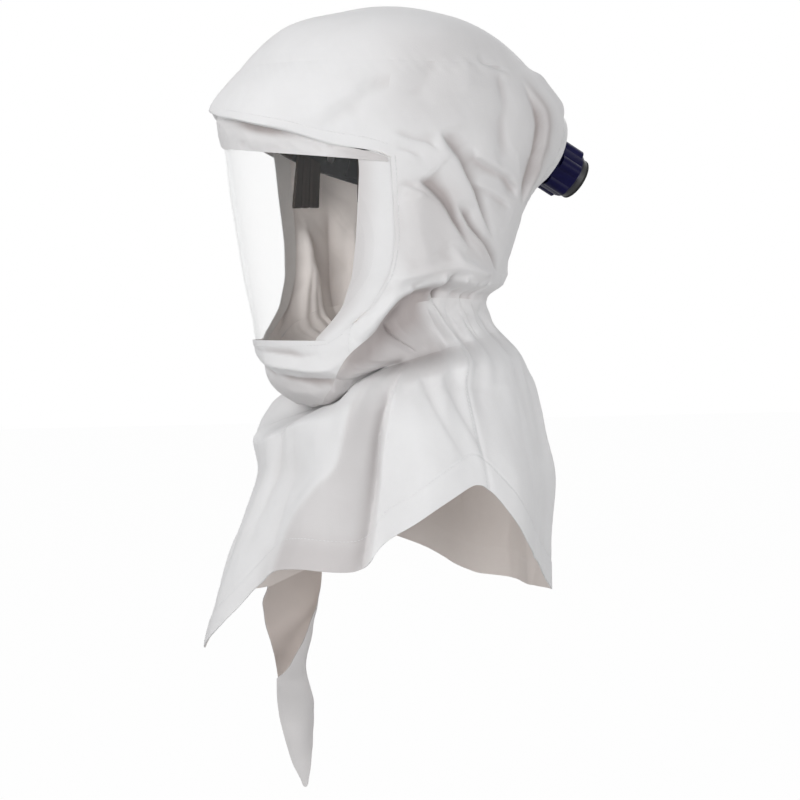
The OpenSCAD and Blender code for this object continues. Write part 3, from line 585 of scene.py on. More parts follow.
# Folds of the hood by angle and height: path, width, height over the cloth (mm), and how sharp a lap is
hoodFolds = [
    # over the wearer's left ear
    ([(72, 66), (67, 57), (60.5, 40), (52, 23), (44, 12)], 12, -2.6),
    ([(64, 62), (57, 46), (48, 30), (38, 22)], 15, 2.6),
    ([(88, 80), (84, 66), (80, 50), (74, 36)], 14, -2.0),
    ([(98, 78), (99, 62), (98, 44)], 11, 1.8),
    ([(104, 74), (112, 70), (121, 66)], 7, 2.6, 1.6),
    ([(116, 74), (114, 61), (110.5, 28), (111.5, 3), (114, -22)], 10, -3.6),
    ([(127, 66), (130, 42), (132, 26), (132.5, -3), (137, -24), (142, -44)], 8, -9.0, 1.9),
    ([(150, 78), (151, 56), (152, 30)], 11, 5.0),
    # long laps that fall back from the visor
    ([(87.5, 17), (89.5, 10), (93.5, -3), (99, -21), (104.5, -36), (112.5, -54), (122, -74)], 12, 9.5, 2.8),
    ([(78.5, -23), (80.5, -27), (83, -31), (87.5, -40), (93, -56), (99, -70), (105, -84)], 12, 9.5, 3.0),
    ([(95, -42), (98.5, -50), (102.5, -59), (110.5, -72), (121.5, -90), (128, -99)], 10, 9.0, 2.8),
    ([(99, 6), (103, -5), (108.5, -11), (119, -18), (128, -27), (134, -36)], 8, -6.5, 2.0),
    ([(102, -24), (106.5, -27), (115, -31), (124.5, -37), (132, -44)], 6, -3.2, 1.8),
    ([(75, -30), (77.5, -39), (79.5, -63), (82, -85), (86, -98)], 14, 4.5),
    ([(90, -72), (98.5, -88), (109, -94), (122, -100)], 8, 4.0),
    ([(70, 14), (77, 9), (83, 7), (88, 0)], 5, 2.4, 1.6), ([(71, 0), (76, -2), (81, -6)], 5, 2.0, 1.6),
    ([(71, -30), (76, -30), (80, -34), (84, -42)], 5, 2.0, 1.6),
    # roll at the bottom, and short tucks under it
    ([(60, -104), (70, -104), (86, -96), (96.5, -93), (114.5, -97), (140, -97)], 9, 6.0),
    ([(124, -98), (150, -97), (180, -95), (220, -96)], 8, 2.0),
    ([(89, -96), (90, -108), (90.5, -130)], 5, 5.0), ([(94.5, -96), (95.5, -110), (96, -130)], 5, -7.0),
    ([(101, -98), (103, -110), (104, -126)], 5, 4.0),
    ([(110, -103), (113, -112), (115, -126)], 5, 3.5, 2.0),
    ([(122, -102), (124, -112), (125, -124)], 5, -3.0, 2.0),
    ([(76, -106), (79, -114), (82, -124)], 5, 3.5, 2.0),
    ([(54, -156), (60, -144), (66, -130), (76, -106)], 7, 3.6),
    ([(64, -148), (69, -138), (77, -124)], 6, -3.0),
    # chin
    ([(-58, -150), (-24, -160), (0, -161), (14, -164), (28, -165), (44, -160)], 5, -2.6),
    ([(-8, -166), (4, -170), (16, -173.5), (30, -175.5), (42, -174), (54, -164)], 7, 7.0),
    ([(-46, -166), (-24, -176), (-4, -181), (12, -184)], 9, -4.5),
    ([(2, -181), (14, -185.5), (28, -187), (40, -185.5), (52, -178)], 5, -4.0),
    ([(2, -191), (14, -194), (26, -195), (40, -192)], 4, 2.0, 1.8),
    ([(14, -180), (26, -183), (40, -182)], 4, 1.6, 1.6),
    # the wearer's right side
    ([(-70, 60), (-62, 44), (-52, 26), (-42, 14)], 11, -2.6),
    ([(-116, 72), (-112, 46), (-110, 20), (-112, -12)], 12, -2.4, 5.0),
    ([(-126, 62), (-129, 36), (-132, 6), (-139, -38)], 11, 6.0, 1.9),
    ([(-71, 12), (-79, 9), (-88, 0)], 6, -3.0, 2.0), ([(-71, -20), (-76, -22), (-82, -28)], 5, -2.2, 1.6),
    ([(-104, 22), (-109, -10), (-116, -44), (-126, -80)], 11, -7.0, 2.0),
    ([(-114, -97), (-138, -97)], 9, 5.0),
    ([(-114, -102), (-116, -112), (-118, -124)], 5, -3.5, 2.0),
    ([(-56, -154), (-64, -136), (-70, -112)], 7, 2.4),
    # upright folds of the right side's lower part, which show inside through the visor
    ([(-79.5, -46), (-80, -84), (-82, -118), (-84, -160)], 6, -6.0),
    ([(-79.5, -46), (-78, -84), (-75, -118), (-71, -160)], 6, -6.0),
    ([(-79.5, -80), (-79, -112), (-77.5, -165)], 7, -6.0), ([(-91, -30), (-91.5, -84), (-91, -150)], 9, 8.0),
    ([(-103, -50), (-104, -84), (-107, -150)], 6, -5.0), ([(-103, -50), (-101.5, -84), (-98, -150)], 6, -5.0),
    ([(-67, -40), (-66.5, -100), (-62, -150)], 8, 4.0),
    # back, below the inlet
    ([(168, -34), (166, -60), (160, -92)], 9, -4.5, 3.0),
    ([(-170, -36), (-168, -66), (-160, -98)], 9, 4.5, 3.0),
    ([(150, -44), (148, -70), (142, -98)], 9, 4.0, 3.0),
    ([(-148, -44), (-147, -74), (-143, -100)], 9, -4.0, 3.0),
]

# Height of the roll along the hood's bottom, by angle
rollZ = softTable([[0, -260], [44, -190], [52, -162], [63, -140], [72, -113], [86, -104], [96, -101],
                   [115, -106], [132, -105], [180, -103]], 2.5)

# Slack of the hood's cloth: size of each noise in mm and its shift, then its heights on the crown and below
hoodSlack = {
    "warp": (26, 3.0), "warpBy": 1.2, "sway": (40, 9.0), "swayBy": 3,
    "broad": (60, 1.0), "broadHigh": (1.2, 2.0), "crumple": (21, 5.0, 0.45), "crumpleHigh": (0.4, 1.7),
    "tiny": (10, 7.0), "tinyHigh": (0.15, 0.5),
    "slant": [[0.9, 0.3, 0.2], [-0.2, 0.55, 0.35], [0.1, 0.3, 0.5]],
    "visorRoom": 13, "rollFront": 24, "rollBack": 10, "inletFlat": 27, "inletRoom": 15, "puckerHigh": 0.45,
}


def hoodLift(phi, z, base):
    p, c = signed(phi), hoodSlack
    warp, sway = cloudAt(base, *c["warp"]) * c["warpBy"], cloudAt(base, *c["sway"]) * c["swayBy"]
    folds = foldField(p + warp, z + sway, hoodFolds, hood["halfWidth"])
    low = ease((70 - z) / 90)              # the crown is held smooth, the cloth below it is slack
    broad = cloudAt(base, *c["broad"]) * mix(*c["broadHigh"], low)
    slant = base @ np.array(c["slant"])
    crumple = creased(slant, *c["crumple"]) * mix(*c["crumpleHigh"], low)
    tiny = creased(slant, *c["tiny"]) * mix(*c["tinyHigh"], low)
    fromVisor = outsideVisor(phi, z)
    room = ease(fromVisor / c["visorRoom"])
    leftDepth = mix(c["rollFront"], c["rollBack"], ease((p - 96) / 40))
    depth = np.where(p > 0, leftDepth, c["rollBack"] * ease((-112 - p) / 20))
    under = depth * ease((rollZ(np.abs(p)) - z) / 15) * ease((fromVisor - 7) / 24)
    w, r = inletRadius(base)
    flat = np.where(w < -45, 1.0, ease((r - c["inletFlat"]) / c["inletRoom"]))
    lift = (folds + broad + crumple + tiny - under) * room * flat
    backGap = np.abs(np.abs(p) - hood["backSeam"]) * hood["backDegree"]
    chinGap = np.abs(np.abs(p) - hood["chinSeam"]) * hood["sideDegree"]
    seams = [np.abs(z - hood["seamZ"]), np.where(z < hood["seamZ"], backGap, 99),
             np.where(z < seamTop, chinGap, 99)]
    gap = np.minimum.reduce(seams)
    ripple = np.sin((base[..., 0] + base[..., 1] * 0.8 + base[..., 2]) * 0.62)
    pucker = ripple * c["puckerHigh"] * np.exp(-(gap / 7) ** 2)
    # the crown's seam is pressed flat
    sunk = np.where(z > hood["seamZ"] - 6, 0.2, np.where(z < seamTop, 0.35, 0.8))
    return lift + (pucker * sunk - sunk * np.exp(-(gap / 2.0) ** 2)) * np.minimum(room, flat)


def hoodNormal(phi, z):
    side = hoodPoint(phi + 0.6, z) - hoodPoint(phi - 0.6, z)
    down = hoodPoint(phi, z - 0.8) - hoodPoint(phi, z + 0.8)
    n = np.cross(down, side)
    return n / np.maximum(np.linalg.norm(n, axis=-1, keepdims=True), 1e-9)


meshCount = {"brow": 150, "side": 160, "back": 72, "crown": 58, "lip": 44, "under": 12, "visorRows": 120,
             "chinRows": 34, "chin": 120, "yoke": 30, "bib": 120, "tail": 110}


def steps(a, b, n):
    return np.linspace(a, b, n + 1)


lipShares = steps(0, 1, meshCount["lip"])
seamLow = hemZ(np.array(hood["chinSeam"]))
topShare = (hood["seamZ"] - hood["peakSideZ"]) / (hood["seamZ"] - seamLow)
lowShare = (hood["seamZ"] - seamTop) / (hood["seamZ"] - seamLow)
rowShares = np.concatenate([lipShares * topShare, steps(topShare, lowShare, meshCount["visorRows"])[1:],
                            steps(lowShare, 1, meshCount["chinRows"])[1:]])


def rearAngles(edge):
    s, b = steps(0, 1, meshCount["side"]), steps(0, 1, meshCount["back"])
    seam = hood["backSeam"]
    return np.concatenate([mix(edge, seam, s), mix(seam, 360 - seam, b)[1:],
                           mix(360 - seam, 360 - edge, s)[1:]])


browAngles = steps(-hood["peakEnd"], hood["peakEnd"], meshCount["brow"])
hemAngles = rearAngles(hood["chinSeam"])
frontZ = mix(hood["seamZ"], seamLow, rowShares)
rearPhi = np.stack([rearAngles(e) for e in edgeAngle(frontZ)])
rearZ = mix(hood["seamZ"], hemZ(hemAngles)[None, :], rowShares[:, None])
rearBase = hoodPoint(rearPhi, rearZ)
rearGrid = rearBase + hoodNormal(rearPhi, rearZ) * hoodLift(rearPhi, rearZ, rearBase)[..., None]

# Crown: rows from the top to its seam, columns all round
crownEnd = np.searchsorted(-levels[:, 0], -hood["seamZ"])
crownLevels = levels[steps(0, crownEnd, meshCount["crown"]).astype(int)]
crownAngles = np.concatenate([browAngles, rearAngles(hood["peakEnd"])[1:-1]])
crownPhi, crownZ = np.broadcast_arrays(crownAngles[None, :], crownLevels[:, :1])
crownZ = crownZ.copy()
crownZ[-1] = hood["seamZ"]
crownBase = hoodPoint(crownPhi, crownZ)
crownNormal = gridNormals(crownBase, wrap=True)
crownNormal[0] = [0, 0, 1]
crownNormal[-1] = hoodNormal(crownPhi[-1], crownZ[-1])
crownGrid = crownBase + crownNormal * hoodLift(crownPhi, crownZ, crownBase)[..., None]

# Brow: down to the peak's edge, then folded back under it
underDrop = softTable([[0, 0], [0.2, 1.1], [0.45, 2.4], [0.7, 3.0], [1, 2.8]], 0.05)
underOut = softTable([[0, 1], [0.2, 0.97], [0.45, 0.74], [0.7, 0.4], [1, 0.05]], 0.05)
underRows = steps(0, 1, meshCount["under"])[1:]
browPhi = np.broadcast_to(browAngles, (len(lipShares) + len(underRows), len(browAngles)))
peakWave = cloudAt(np.stack([browAngles * 2.4, 0 * browAngles, 0 * browAngles], -1), 34, 2.0) \
    * ease((70 - np.abs(browAngles)) / 14)
overZ = mix(hood["seamZ"], (lipZ(browAngles) + peakWave * 1.3)[None, :], lipShares[:, None])
lipStand = 4.5 * np.exp(-((browAngles - 22) / 9) ** 2)   # the edge stands off the band here
lipReach = (peakOut(browAngles) * (1 + peakWave * 0.16) + lipStand)[None, :] * lipOut(lipShares)[:, None]
underZ = overZ[-1] - underDrop(underRows)[:, None] * (0.35 + 0.65 * ease((70 - np.abs(browAngles)) / 20))
underReach = (peakOut(browAngles) + lipStand)[None, :] * underOut(underRows)[:, None]
browZ, browReach = np.concatenate([overZ, underZ]), np.concatenate([lipReach, underReach])
browBase = hoodPoint(browPhi, browZ, browReach)
browPush = hoodLift(browPhi, np.maximum(browZ, lipZ(browPhi)), browBase)
browGrid = browBase + hoodNormal(browPhi, browZ) * browPush[..., None]

# Chin: from the visor's lower edge to the hem
chinAngles = steps(-hood["chinSeam"], hood["chinSeam"], meshCount["chin"])
chinShares = steps(0, 1, meshCount["chinRows"])
chinPhi = np.broadcast_to(chinAngles, (len(chinShares), len(chinAngles)))
chinZ = mix(chinTop(np.abs(chinPhi)), hemZ(chinPhi), chinShares[:, None])
chinBase = hoodPoint(chinPhi, chinZ)
chinGrid = chinBase + hoodNormal(chinPhi, chinZ) * hoodLift(chinPhi, chinZ, chinBase)[..., None]

chinRow = -len(chinShares)
for mine, other, toward in ((-1, 0, 1), (0, -1, -1)):
    step = rearGrid[chinRow:, other] - chinGrid[:, mine]
    chinGrid = chinGrid + step[:, None, :] * ease((chinAngles * toward - 38) / 12)[None, :, None]

# Neck: the cloth rolls under from the hem and is gathered to the neck ring
neck = {"r": 64.0, "back": 30.0, "drop": 159.0, "tilt": 17.0, "gather": 5.2, "bibSide": 15.0, "settle": 36,
        "slack": (22, 4.0), "slackBy": 5, "crease": (14, 6.0), "creaseBy": 6}


def neckPoint(phi, r):
    a, t = np.radians(phi), math.radians(neck["tilt"])
    return np.stack([r * np.sin(a), neck["back"] - r * np.cos(a) * math.cos(t),
                     -neck["drop"] - r * np.cos(a) * math.sin(t)], -1)


def pleats(phi):                           # uneven gathers round the neck
    a = np.radians(phi)
    wave = np.cos(23 * a + 0.9 * np.sin(3 * a)) + 0.7 * np.cos(31 * a + 1.4 * np.sin(2 * a + 1))
    return 0.55 + (wave + 0.4 * np.cos(14 * a + 2)) * 0.42


def outOf(angle):
    return np.stack([np.sin(angle), -np.cos(angle), 0 * angle], -1)


ringAngles = np.concatenate([chinAngles, hemAngles[1:-1]])
outward = outOf(np.radians(ringAngles))
hemLine = np.concatenate([chinGrid[-1], rearGrid[-1, 1:-1]])
hemFall = hemLine - np.concatenate([chinGrid[-5], rearGrid[-5, 1:-1]])
hemFall[:, 2] = np.minimum(hemFall[:, 2], -0.5 * np.linalg.norm(hemFall[:, :2], axis=1))
hemFall /= np.linalg.norm(hemFall, axis=1, keepdims=True)
ringLine = neckPoint(ringAngles, neck["r"])
inFall = (ringLine - hemLine) / np.linalg.norm(ringLine - hemLine, axis=1, keepdims=True)
k = steps(0, 1, meshCount["yoke"])[:, None, None]
span = np.linalg.norm(ringLine - hemLine, axis=1)[None, :, None]
yokeGrid = (2 * k ** 3 - 3 * k ** 2 + 1) * hemLine + (k ** 3 - 2 * k ** 2 + k) * hemFall * span * 0.9 \
    + (3 * k ** 2 - 2 * k ** 3) * ringLine + (k ** 3 - k ** 2) * inFall * span * 0.6
gatherIn = pleats(ringAngles)[None, :, None] * outward
yokeGrid = yokeGrid + gatherIn * neck["gather"] * k ** 1.4
slack = cloudAt(yokeGrid * [1, 1, 0.6], *neck["slack"]) * neck["slackBy"] \
    + creased(yokeGrid * [1, 1, 0.5], *neck["crease"]) * neck["creaseBy"]
yokeGrid = yokeGrid + slack[..., None] * np.sin(np.pi * k) ** 0.8 * outward

# Bib: hangs from the neck ring, with a wavy hem and a long curled corner on the wearer's right
bib = {
    "drop": 366.0, "tip": 556.0, "tail": (-89.0, -64.0), "leftSeam": 96.0, "rightSeam": -98.0,
    "hemBand": 25.0, "foldRadius": 130, "degree": 2.2,
    "warp": (50, 2.0), "warpBy": 1.5, "broad": (70, 8.0), "broadBy": 2.2,
    "crumple": (24, 6.0, 0.42), "crumpleBy": 1.6, "tiny": (11, 12.0), "tinyBy": 0.4,
    "front": softTable([[-600, 165], [-405, 165], [-357, 151], [-292, 128], [-262, 118], [-240, 121],
                        [-222, 124], [-205, 120], [-159, 86]], 6),
    "rear": softTable([[-600, 127], [-263, 123], [-221, 115], [-196, 109], [-178, 105], [-161, 109],
                       [-147, 104], [-138, 90], [-120, 74]], 3),
    "hem": softTable([[-190, 1.0], [-180, 1], [-150, 0.99], [-137, 0.962], [-128, 0.935], [-112, 0.895],
                      [-95, 0.96], [-64, 1.02], [-50, 1.02], [-36, 1.06], [-24, 1.105], [-13, 1.125],
                      [-6, 1.1], [-1, 1.073], [3, 1.042], [7.5, 1.005], [11, 0.972], [20, 0.932],
                      [30, 0.921], [46, 0.923], [51, 0.915], [57, 0.862], [66, 0.826], [75, 0.783],
                      [86, 0.743], [91, 0.729], [96, 0.742], [105, 0.806], [114, 0.872], [125, 0.903],
                      [140, 0.95], [153, 1], [180, 1], [190, 1]], 2.2),
    "slope": softTable([[0, 0], [0.03, 0.3], [0.08, 0.64], [0.15, 0.9], [0.23, 0.99], [0.3, 1.0],
                        [1, 1]], 0.012),
    # a broad pleat in front: angles of its crest and of the line where its right edge laps over, by height
    "crest": softTable([[-420, 17], [-330, 20], [-306, 23], [-256, 39], [-220, 43], [-190, 46],
                        [-160, 49]], 6),
    "lap": softTable([[-420, 48], [-330, 50], [-304, 51.5], [-240, 54], [-200, 57], [-172, 60.5],
                      [-150, 62]], 6),
    "chinRest": 4.0, "crestUp": 11.0, "lapDown": -7.5, "lapUp": 4.0,
    "folds": [
        ([(64, -172), (72, -188), (80.5, -224), (88.5, -257)], 10, 2.2, 5.0),
        ([(76, -170), (82.5, -182), (92, -225), (99, -266)], 10, 2.0, 5.0),
        ([(51, -172), (49, -190), (46, -214)], 5, 2.6),
        ([(63, -170), (61, -188), (59, -206)], 5, 2.4),
        ([(138, -150), (126, -200), (124, -250), (128, -300)], 16, -2.0),
        ([(12, -196), (8, -230), (2, -280), (0, -340)], 12, -4.0),
        ([(-16, -196), (-20, -240), (-26, -320), (-30, -400)], 12, 5.0),
        ([(-48, -180), (-50, -240), (-56, -330)], 13, -6.0),
        ([(-72, -170), (-74, -230), (-78, -350)], 12, 5.0),
        ([(-106, -160), (-110, -210), (-112, -300)], 13, -5.5),
        ([(-136, -156), (-140, -220), (-146, -340)], 13, 5.0),
        ([(176, -150), (170, -210), (166, -330)], 13, -5.0),
        ([(152, -150), (150, -220), (152, -350)], 13, 4.5),
    ],
}


def bibReach(phi, z):
    return mix(bib["front"](z), bib["rear"](z), (1 - np.cos(np.radians(phi + 27))) / 2)


bibT = steps(0, 1, meshCount["bib"])[:, None] ** 1.12
bibPhi = np.broadcast_to(ringAngles, (len(bibT), len(ringAngles)))
bibSign = signed(bibPhi)
bibTop = neckPoint(bibPhi, neck["r"])
bibZ = mix(bibTop[..., 2], -bib["drop"] * bib["hem"](bibSign), bibT)
hang = ease(bibT / 0.6)
wave = np.cos(np.radians(9 * bibSign + 40))
calm = 1 - 0.7 * ease((bibSign - 62) / 20) * ease((150 - bibSign) / 20)   # the left shoulder lies smooth
reach = bibReach(bibSign, bibZ) + hang * calm * (3.5 * wave + 1.6 * (2 / math.pi) * np.arcsin(wave))
near = 0.7 * ease((44 - np.abs(bibSign)) / 24)
k = mix(bib["slope"](bibT), ease((bibT - 0.12) / 0.15), near)
side = np.radians(bibPhi)
bibBase = np.stack([mix(bibTop[..., 0], reach * np.sin(side), k),
                    mix(bibTop[..., 1], neck["bibSide"] - reach * np.cos(side), k), bibZ], -1)
flare = ease((bibSign - 52) / 22) * ease((128 - bibSign) / 22)   # the left side spreads like a tent
spread = flare * mix(-9, 13, ease((-190 - bibZ) / 95)) * ease((bibT - 0.1) / 0.2)
bibBase = bibBase + outOf(side) * spread[..., None]
chinRest = np.exp(-((bibT - 0.11) / 0.06) ** 2) * ease((bibSign - 4) / 14) * ease((68 - bibSign) / 14)
bibBase[..., 2] += bib["chinRest"] * chinRest   # where the chin lies on it
bibNormal = gridNormals(bibBase, wrap=True)
bibSlant = bibBase * [0.9, 0.9, 0.42]
bibWarp = cloudAt(bibBase, *bib["warp"]) * bib["warpBy"]
bibPush = foldField(bibSign + bibWarp, bibZ, bib["folds"], bib["foldRadius"])
bibPush = bibPush * ease((bibT - 0.02) / 0.2)
crestAt, lapAt = bib["crest"](bibZ), bib["lap"](bibZ)
across = (bibSign - crestAt) / (lapAt - crestAt)
facet = mix(bib["crestUp"], bib["lapDown"], np.clip(across, 0, 1)) \
    * np.where(across < 0, np.exp(across * 1.5), 1)
pastLap = bibSign - lapAt
beyond = mix(bib["lapDown"], bib["lapUp"], ease(pastLap / 3.2)) * np.exp(-np.maximum(pastLap, 0) / 14)
softFacet = facet * (np.sqrt(np.minimum(across ** 2 * 40, 1) + 0.02) - 0.02) * 0.12 + facet * 0.88
bibPush += np.where(bibSign < lapAt, softFacet, beyond) * ease((bibT - 0.05) / 0.22)
bibCrumple = creased(bibSlant, *bib["crumple"]) * bib["crumpleBy"] * calm * ease(bibT / 0.25)
bibPush += bibCrumple + cloudAt(bibBase, *bib["broad"]) * bib["broadBy"] * hang
bibPush += creased(bibSlant, *bib["tiny"]) * bib["tinyBy"]
drop = bibTop[..., 2] - bibZ
seamGap = np.minimum(np.abs(bibSign - bib["leftSeam"]), np.abs(bibSign - bib["rightSeam"])) * bib["degree"]
bibPush -= 0.9 * np.exp(-(seamGap / 2.6) ** 2) * ease(bibT / 0.1)
hemGap = bibZ + bib["drop"] * bib["hem"](bibSign)
bibPush += 0.4 * ease((bib["hemBand"] - hemGap) / 2.0) \
    - 0.35 * np.exp(-((hemGap - bib["hemBand"]) / 1.6) ** 2)
pleatFade = np.exp(-drop / 36)[..., None]
bibPleats = outOf(side) * (pleats(bibPhi) * neck["gather"])[..., None] * pleatFade
bibGrid = bibBase + bibNormal * bibPush[..., None] + bibPleats
joined = np.concatenate([yokeGrid, bibGrid[1:]])
ringRow = len(yokeGrid) - 1
settle = np.exp(-((np.arange(len(joined)) - ringRow) / 12.0) ** 2)[1:-1, None, None]
for turn in range(neck["settle"]):         # the crease at the neck ring eases into a soft valley
    joined[1:-1] += settle * (0.5 * (joined[:-2] + joined[2:]) - joined[1:-1])
yokeGrid, bibGrid = joined[:ringRow + 1], joined[ringRow:]
clothGrids = (rearGrid, crownGrid, browGrid, chinGrid, yokeGrid, bibGrid)
print("cloth grids:", sum(g.shape[0] * g.shape[1] for g in clothGrids))


# Painted shade in the cloth's colour: where light hardly reaches it, on the sides and on faces turned from
# the lamps, and how strong each kind is
shade = {"rear": 0.7, "crown": 0.4, "brow": 0.5, "chin": 0.8, "bib": 0.22, "underRoll": 0.9, "belowEye": 0.22,
         "side": 0.15, "overEar": 0.13, "chinLow": 0.35, "neck": 0.9, "facet": 0.38, "lowFront": 0.2}


def underRoll(p, z):                       # 1 on the cloth that turns in under the roll, by the cheek, where shade is painted
    return ease((rollZ(p) - z - 1) / 12) * ease((p - 46) / 18) * mix(1, 0.15, ease((p - 86) / 8))


def sideShade(p, z):                       # painted shade: the sides are a little greyer than the brow, most over the ears
    overEar = np.exp(-((p - 78) / 20) ** 2) * ease((z - 6) / 30)
    overEar = shade["overEar"] * overEar * ease((116 - z) / 34)
    return shade["side"] * ease((p - 56) / 40) * ease((170 - p) / 20) + overEar


rearP = np.abs(signed(rearPhi))
rearHollow, rearInnerShade = hollows(rearGrid, False, 6, 3.2)
besideChin = 1 - ease((62 - rearP) / 10) * ease((seamTop - rearZ) / 8)   # painted shade meets at the chin's seams
chinShade = shade["chinLow"] * ease((-176 - rearZ) / 12) * ease((66 - rearP) / 14)
# painted shade that greys the broad side below the visor
belowEye = ease((rearP - 66) / 12) * ease((102 - rearP) / 16) \
    * ease((-16 - rearZ) / 20) * ease((rearZ + 106) / 14)
# painted shade along two creases of the left side: under a lap that falls back from the visor, and in the
# groove before the back panel
shadeLines = [
    ([(78, -20), (82, -28), (91, -44), (100, -64), (112, -83), (126, -100)], 9, 0.3),
    ([(128.5, 72), (131, 56), (133, 42), (134.4, 26), (134.8, -3), (139, -24), (143.5, -50)], 8, 0.62),
]
sideCreaseShade = foldField(rearPhi, rearZ, shadeLines, hood["shadeRadius"])
# painted shade of the rear panels: in hollows, under the roll, on the sides, below the visor, along two
# creases and low by the chin
rearPaintedShade = shade["rear"] * rearHollow * besideChin + shade["underRoll"] * underRoll(rearP, rearZ)
rearPaintedShade = rearPaintedShade + sideShade(rearP, rearZ) + shade["belowEye"] * belowEye + sideCreaseShade + chinShade
# painted shade of the crown, brow and chin: in hollows, on the sides, low on the chin and under the roll
crownP = np.abs(signed(crownPhi))
crownHigh = crownGrid[..., 2]
crownPaintedShade = shade["crown"] * hollows(crownGrid, True, 7, 3.5)[0]
crownPaintedShade = crownPaintedShade + sideShade(crownP, crownHigh) * ease((122 - crownHigh) / 34)
browPaintedShade = shade["brow"] * hollows(browGrid, False, 6, 3.0)[0] + sideShade(np.abs(signed(browPhi)), browZ)
chinP = np.abs(chinPhi)
chinPaintedShade = shade["chin"] * hollows(chinGrid, False, 5, 2.4)[0] * ease((50 - chinP) / 16)
chinPaintedShade = chinPaintedShade + shade["chinLow"] * ease((-176 - chinZ) / 12) \
    + shade["underRoll"] * underRoll(chinP, chinZ)
# painted shade in the neck's recess under the hood, darkest high on the yoke
ringP = np.abs(signed(ringAngles))[None, :]
neckShade = mix(0.35, 0.78, ease((ringP - 42) / 16)) * mix(1, 0.15, ease((ringP - 80) / 12))
yokePaintedShade = neckShade * mix(1.6, 0.7, ease(np.linspace(0, 1.6, len(yokeGrid))))[:, None]
# painted shade on the bib: in hollows, below the neck, on the pleat's sunk facet and low on the front hem
onFacet = ease((across + 0.06) / 0.14) * ease((1.06 - across) / 0.14) * ease((bibT - 0.08) / 0.2)
lowFront = ease((38 - hemGap) / 26) * ease((bibSign - 4) / 16) * ease((56 - bibSign) / 12)
bibPaintedShade = shade["bib"] * hollows(bibGrid, True, 6, 4.0)[0] + shade["neck"] * np.exp(-drop / 12) * neckShade
bibPaintedShade = bibPaintedShade + shade["facet"] * onFacet + shade["lowFront"] * lowFront

# Long corner: a rolled strip that hangs from the hem and turns its outer face forwards on the way down
tail = {
    # painted shade on the long corner's outer face, and more on its inner face
    "outerShade": 0.3, "innerShade": 0.7, "settle": 0.4, "spread": 1.06, "mapDrop": 200, "rough": (18, 3.0),
    "width": softTable([[0, 60], [0.1, 54], [0.2, 56], [0.35, 55], [0.5, 50], [0.6, 44], [0.7, 34], [0.8, 24],
                        [0.9, 14], [1, 2]], 0.02),
    "curl": softTable([[0, 0.3], [0.1, 0.9], [0.2, 1.3], [0.35, 1.6], [0.5, 1.5], [0.6, 1.2], [0.7, 0.9],
                       [1, 0.5]], 0.03),
    "turn": softTable([[0, 0], [0.1, 12], [0.2, 30], [0.35, 46], [0.5, 88], [0.6, 122], [0.7, 148],
                       [1, 172]], 0.03),
    # its two sides across the view (mm)
    "left": softTable([[0, -118], [0.1, -115], [0.2, -113], [0.35, -106.5], [0.5, -103.5], [0.6, -104],
                       [0.7, -102], [0.8, -97], [0.9, -92], [1, -82]], 0.02),
    "right": softTable([[0, -66], [0.1, -67], [0.2, -70.5], [0.35, -76.5], [0.42, -80], [0.5, -77.5],
                        [0.6, -73], [0.7, -73.5], [0.8, -74], [0.9, -75], [1, -78]], 0.02),
}
tailCols = np.where((bibSign[0] >= bib["tail"][0]) & (bibSign[0] <= bib["tail"][1]))[0]
tailTop = bibGrid[-1, tailCols]
v = steps(0, 1, meshCount["tail"])[1:, None]
viewSide, viewNear = np.array([0.454, 0.891, 0.0]), np.array([0.891, -0.454, 0.0])
strand = -np.linspace(-1, 1, len(tailCols))[None, :]   # columns run forwards, to the left in the view
turn, curl = np.radians(tail["turn"](v)), tail["curl"](v)
bend = tail["width"](v) / (2 * curl)
stripX, stripY = bend * np.sin(curl * strand), bend * (1 - np.cos(curl * strand))
sideways = stripX * np.cos(turn) - stripY * np.sin(turn)
nearer = stripX * np.sin(turn) + stripY * np.cos(turn)
low, high = sideways.min(axis=1, keepdims=True), sideways.max(axis=1, keepdims=True)
sideways = mix(tail["left"](v), tail["right"](v), (sideways - low) / (high - low)) * tail["spread"]
sideways = sideways + viewSide[1] * neck["bibSide"]
tailNear = tailTop.mean(axis=0) @ viewNear
fall = mix(tailTop[None, :, 2], -bib["tip"] + 3 * strand ** 2, v)
tailDepth = mix((tailTop @ viewNear)[None, :], nearer + tailNear, ease(v / tail["settle"]))
strip = viewSide * sideways[..., None] + viewNear * tailDepth[..., None] \
    + np.array([0, 0, 1.0]) * fall[..., None]
hung = np.stack([np.broadcast_to(tailTop[None, :, i], fall.shape) for i in (0, 1)] + [fall], -1)
tailGrid = np.concatenate([tailTop[None], mix(hung, strip, ease(v / 0.1)[..., None])])
tailRough = cloudAt(tailGrid[1:], *tail["rough"]) * ease(v * 6) * ease((1 - v) * 5)
tailGrid[1:] += gridNormals(tailGrid)[1:] * tailRough[..., None]


# Panels
sheets = {}
clothSides = ("hoodCloth", "hoodLining")
webSides = ("darkWeb", "darkWeb")


def flatUv(grid):
    along = np.concatenate([np.zeros((len(grid), 1)), np.linalg.norm(np.diff(grid, axis=1), axis=-1)], axis=1)
    down = np.concatenate([np.zeros((1, grid.shape[1])),
                           np.linalg.norm(np.diff(grid, axis=0), axis=-1)], axis=0)
    return np.stack([np.cumsum(along, axis=1), np.cumsum(down, axis=0)], -1)


def nodeOf(name):                          # leftSidePanel stands for the node left_side_panel
    return "".join("_" + c.lower() if c.isupper() else c for c in name)


def sew(name, *shape, node=None):
    sheets[name] = clothPiece(name, *shape)
    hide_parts(node or nodeOf(name))
    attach(sheets[name], "hood")


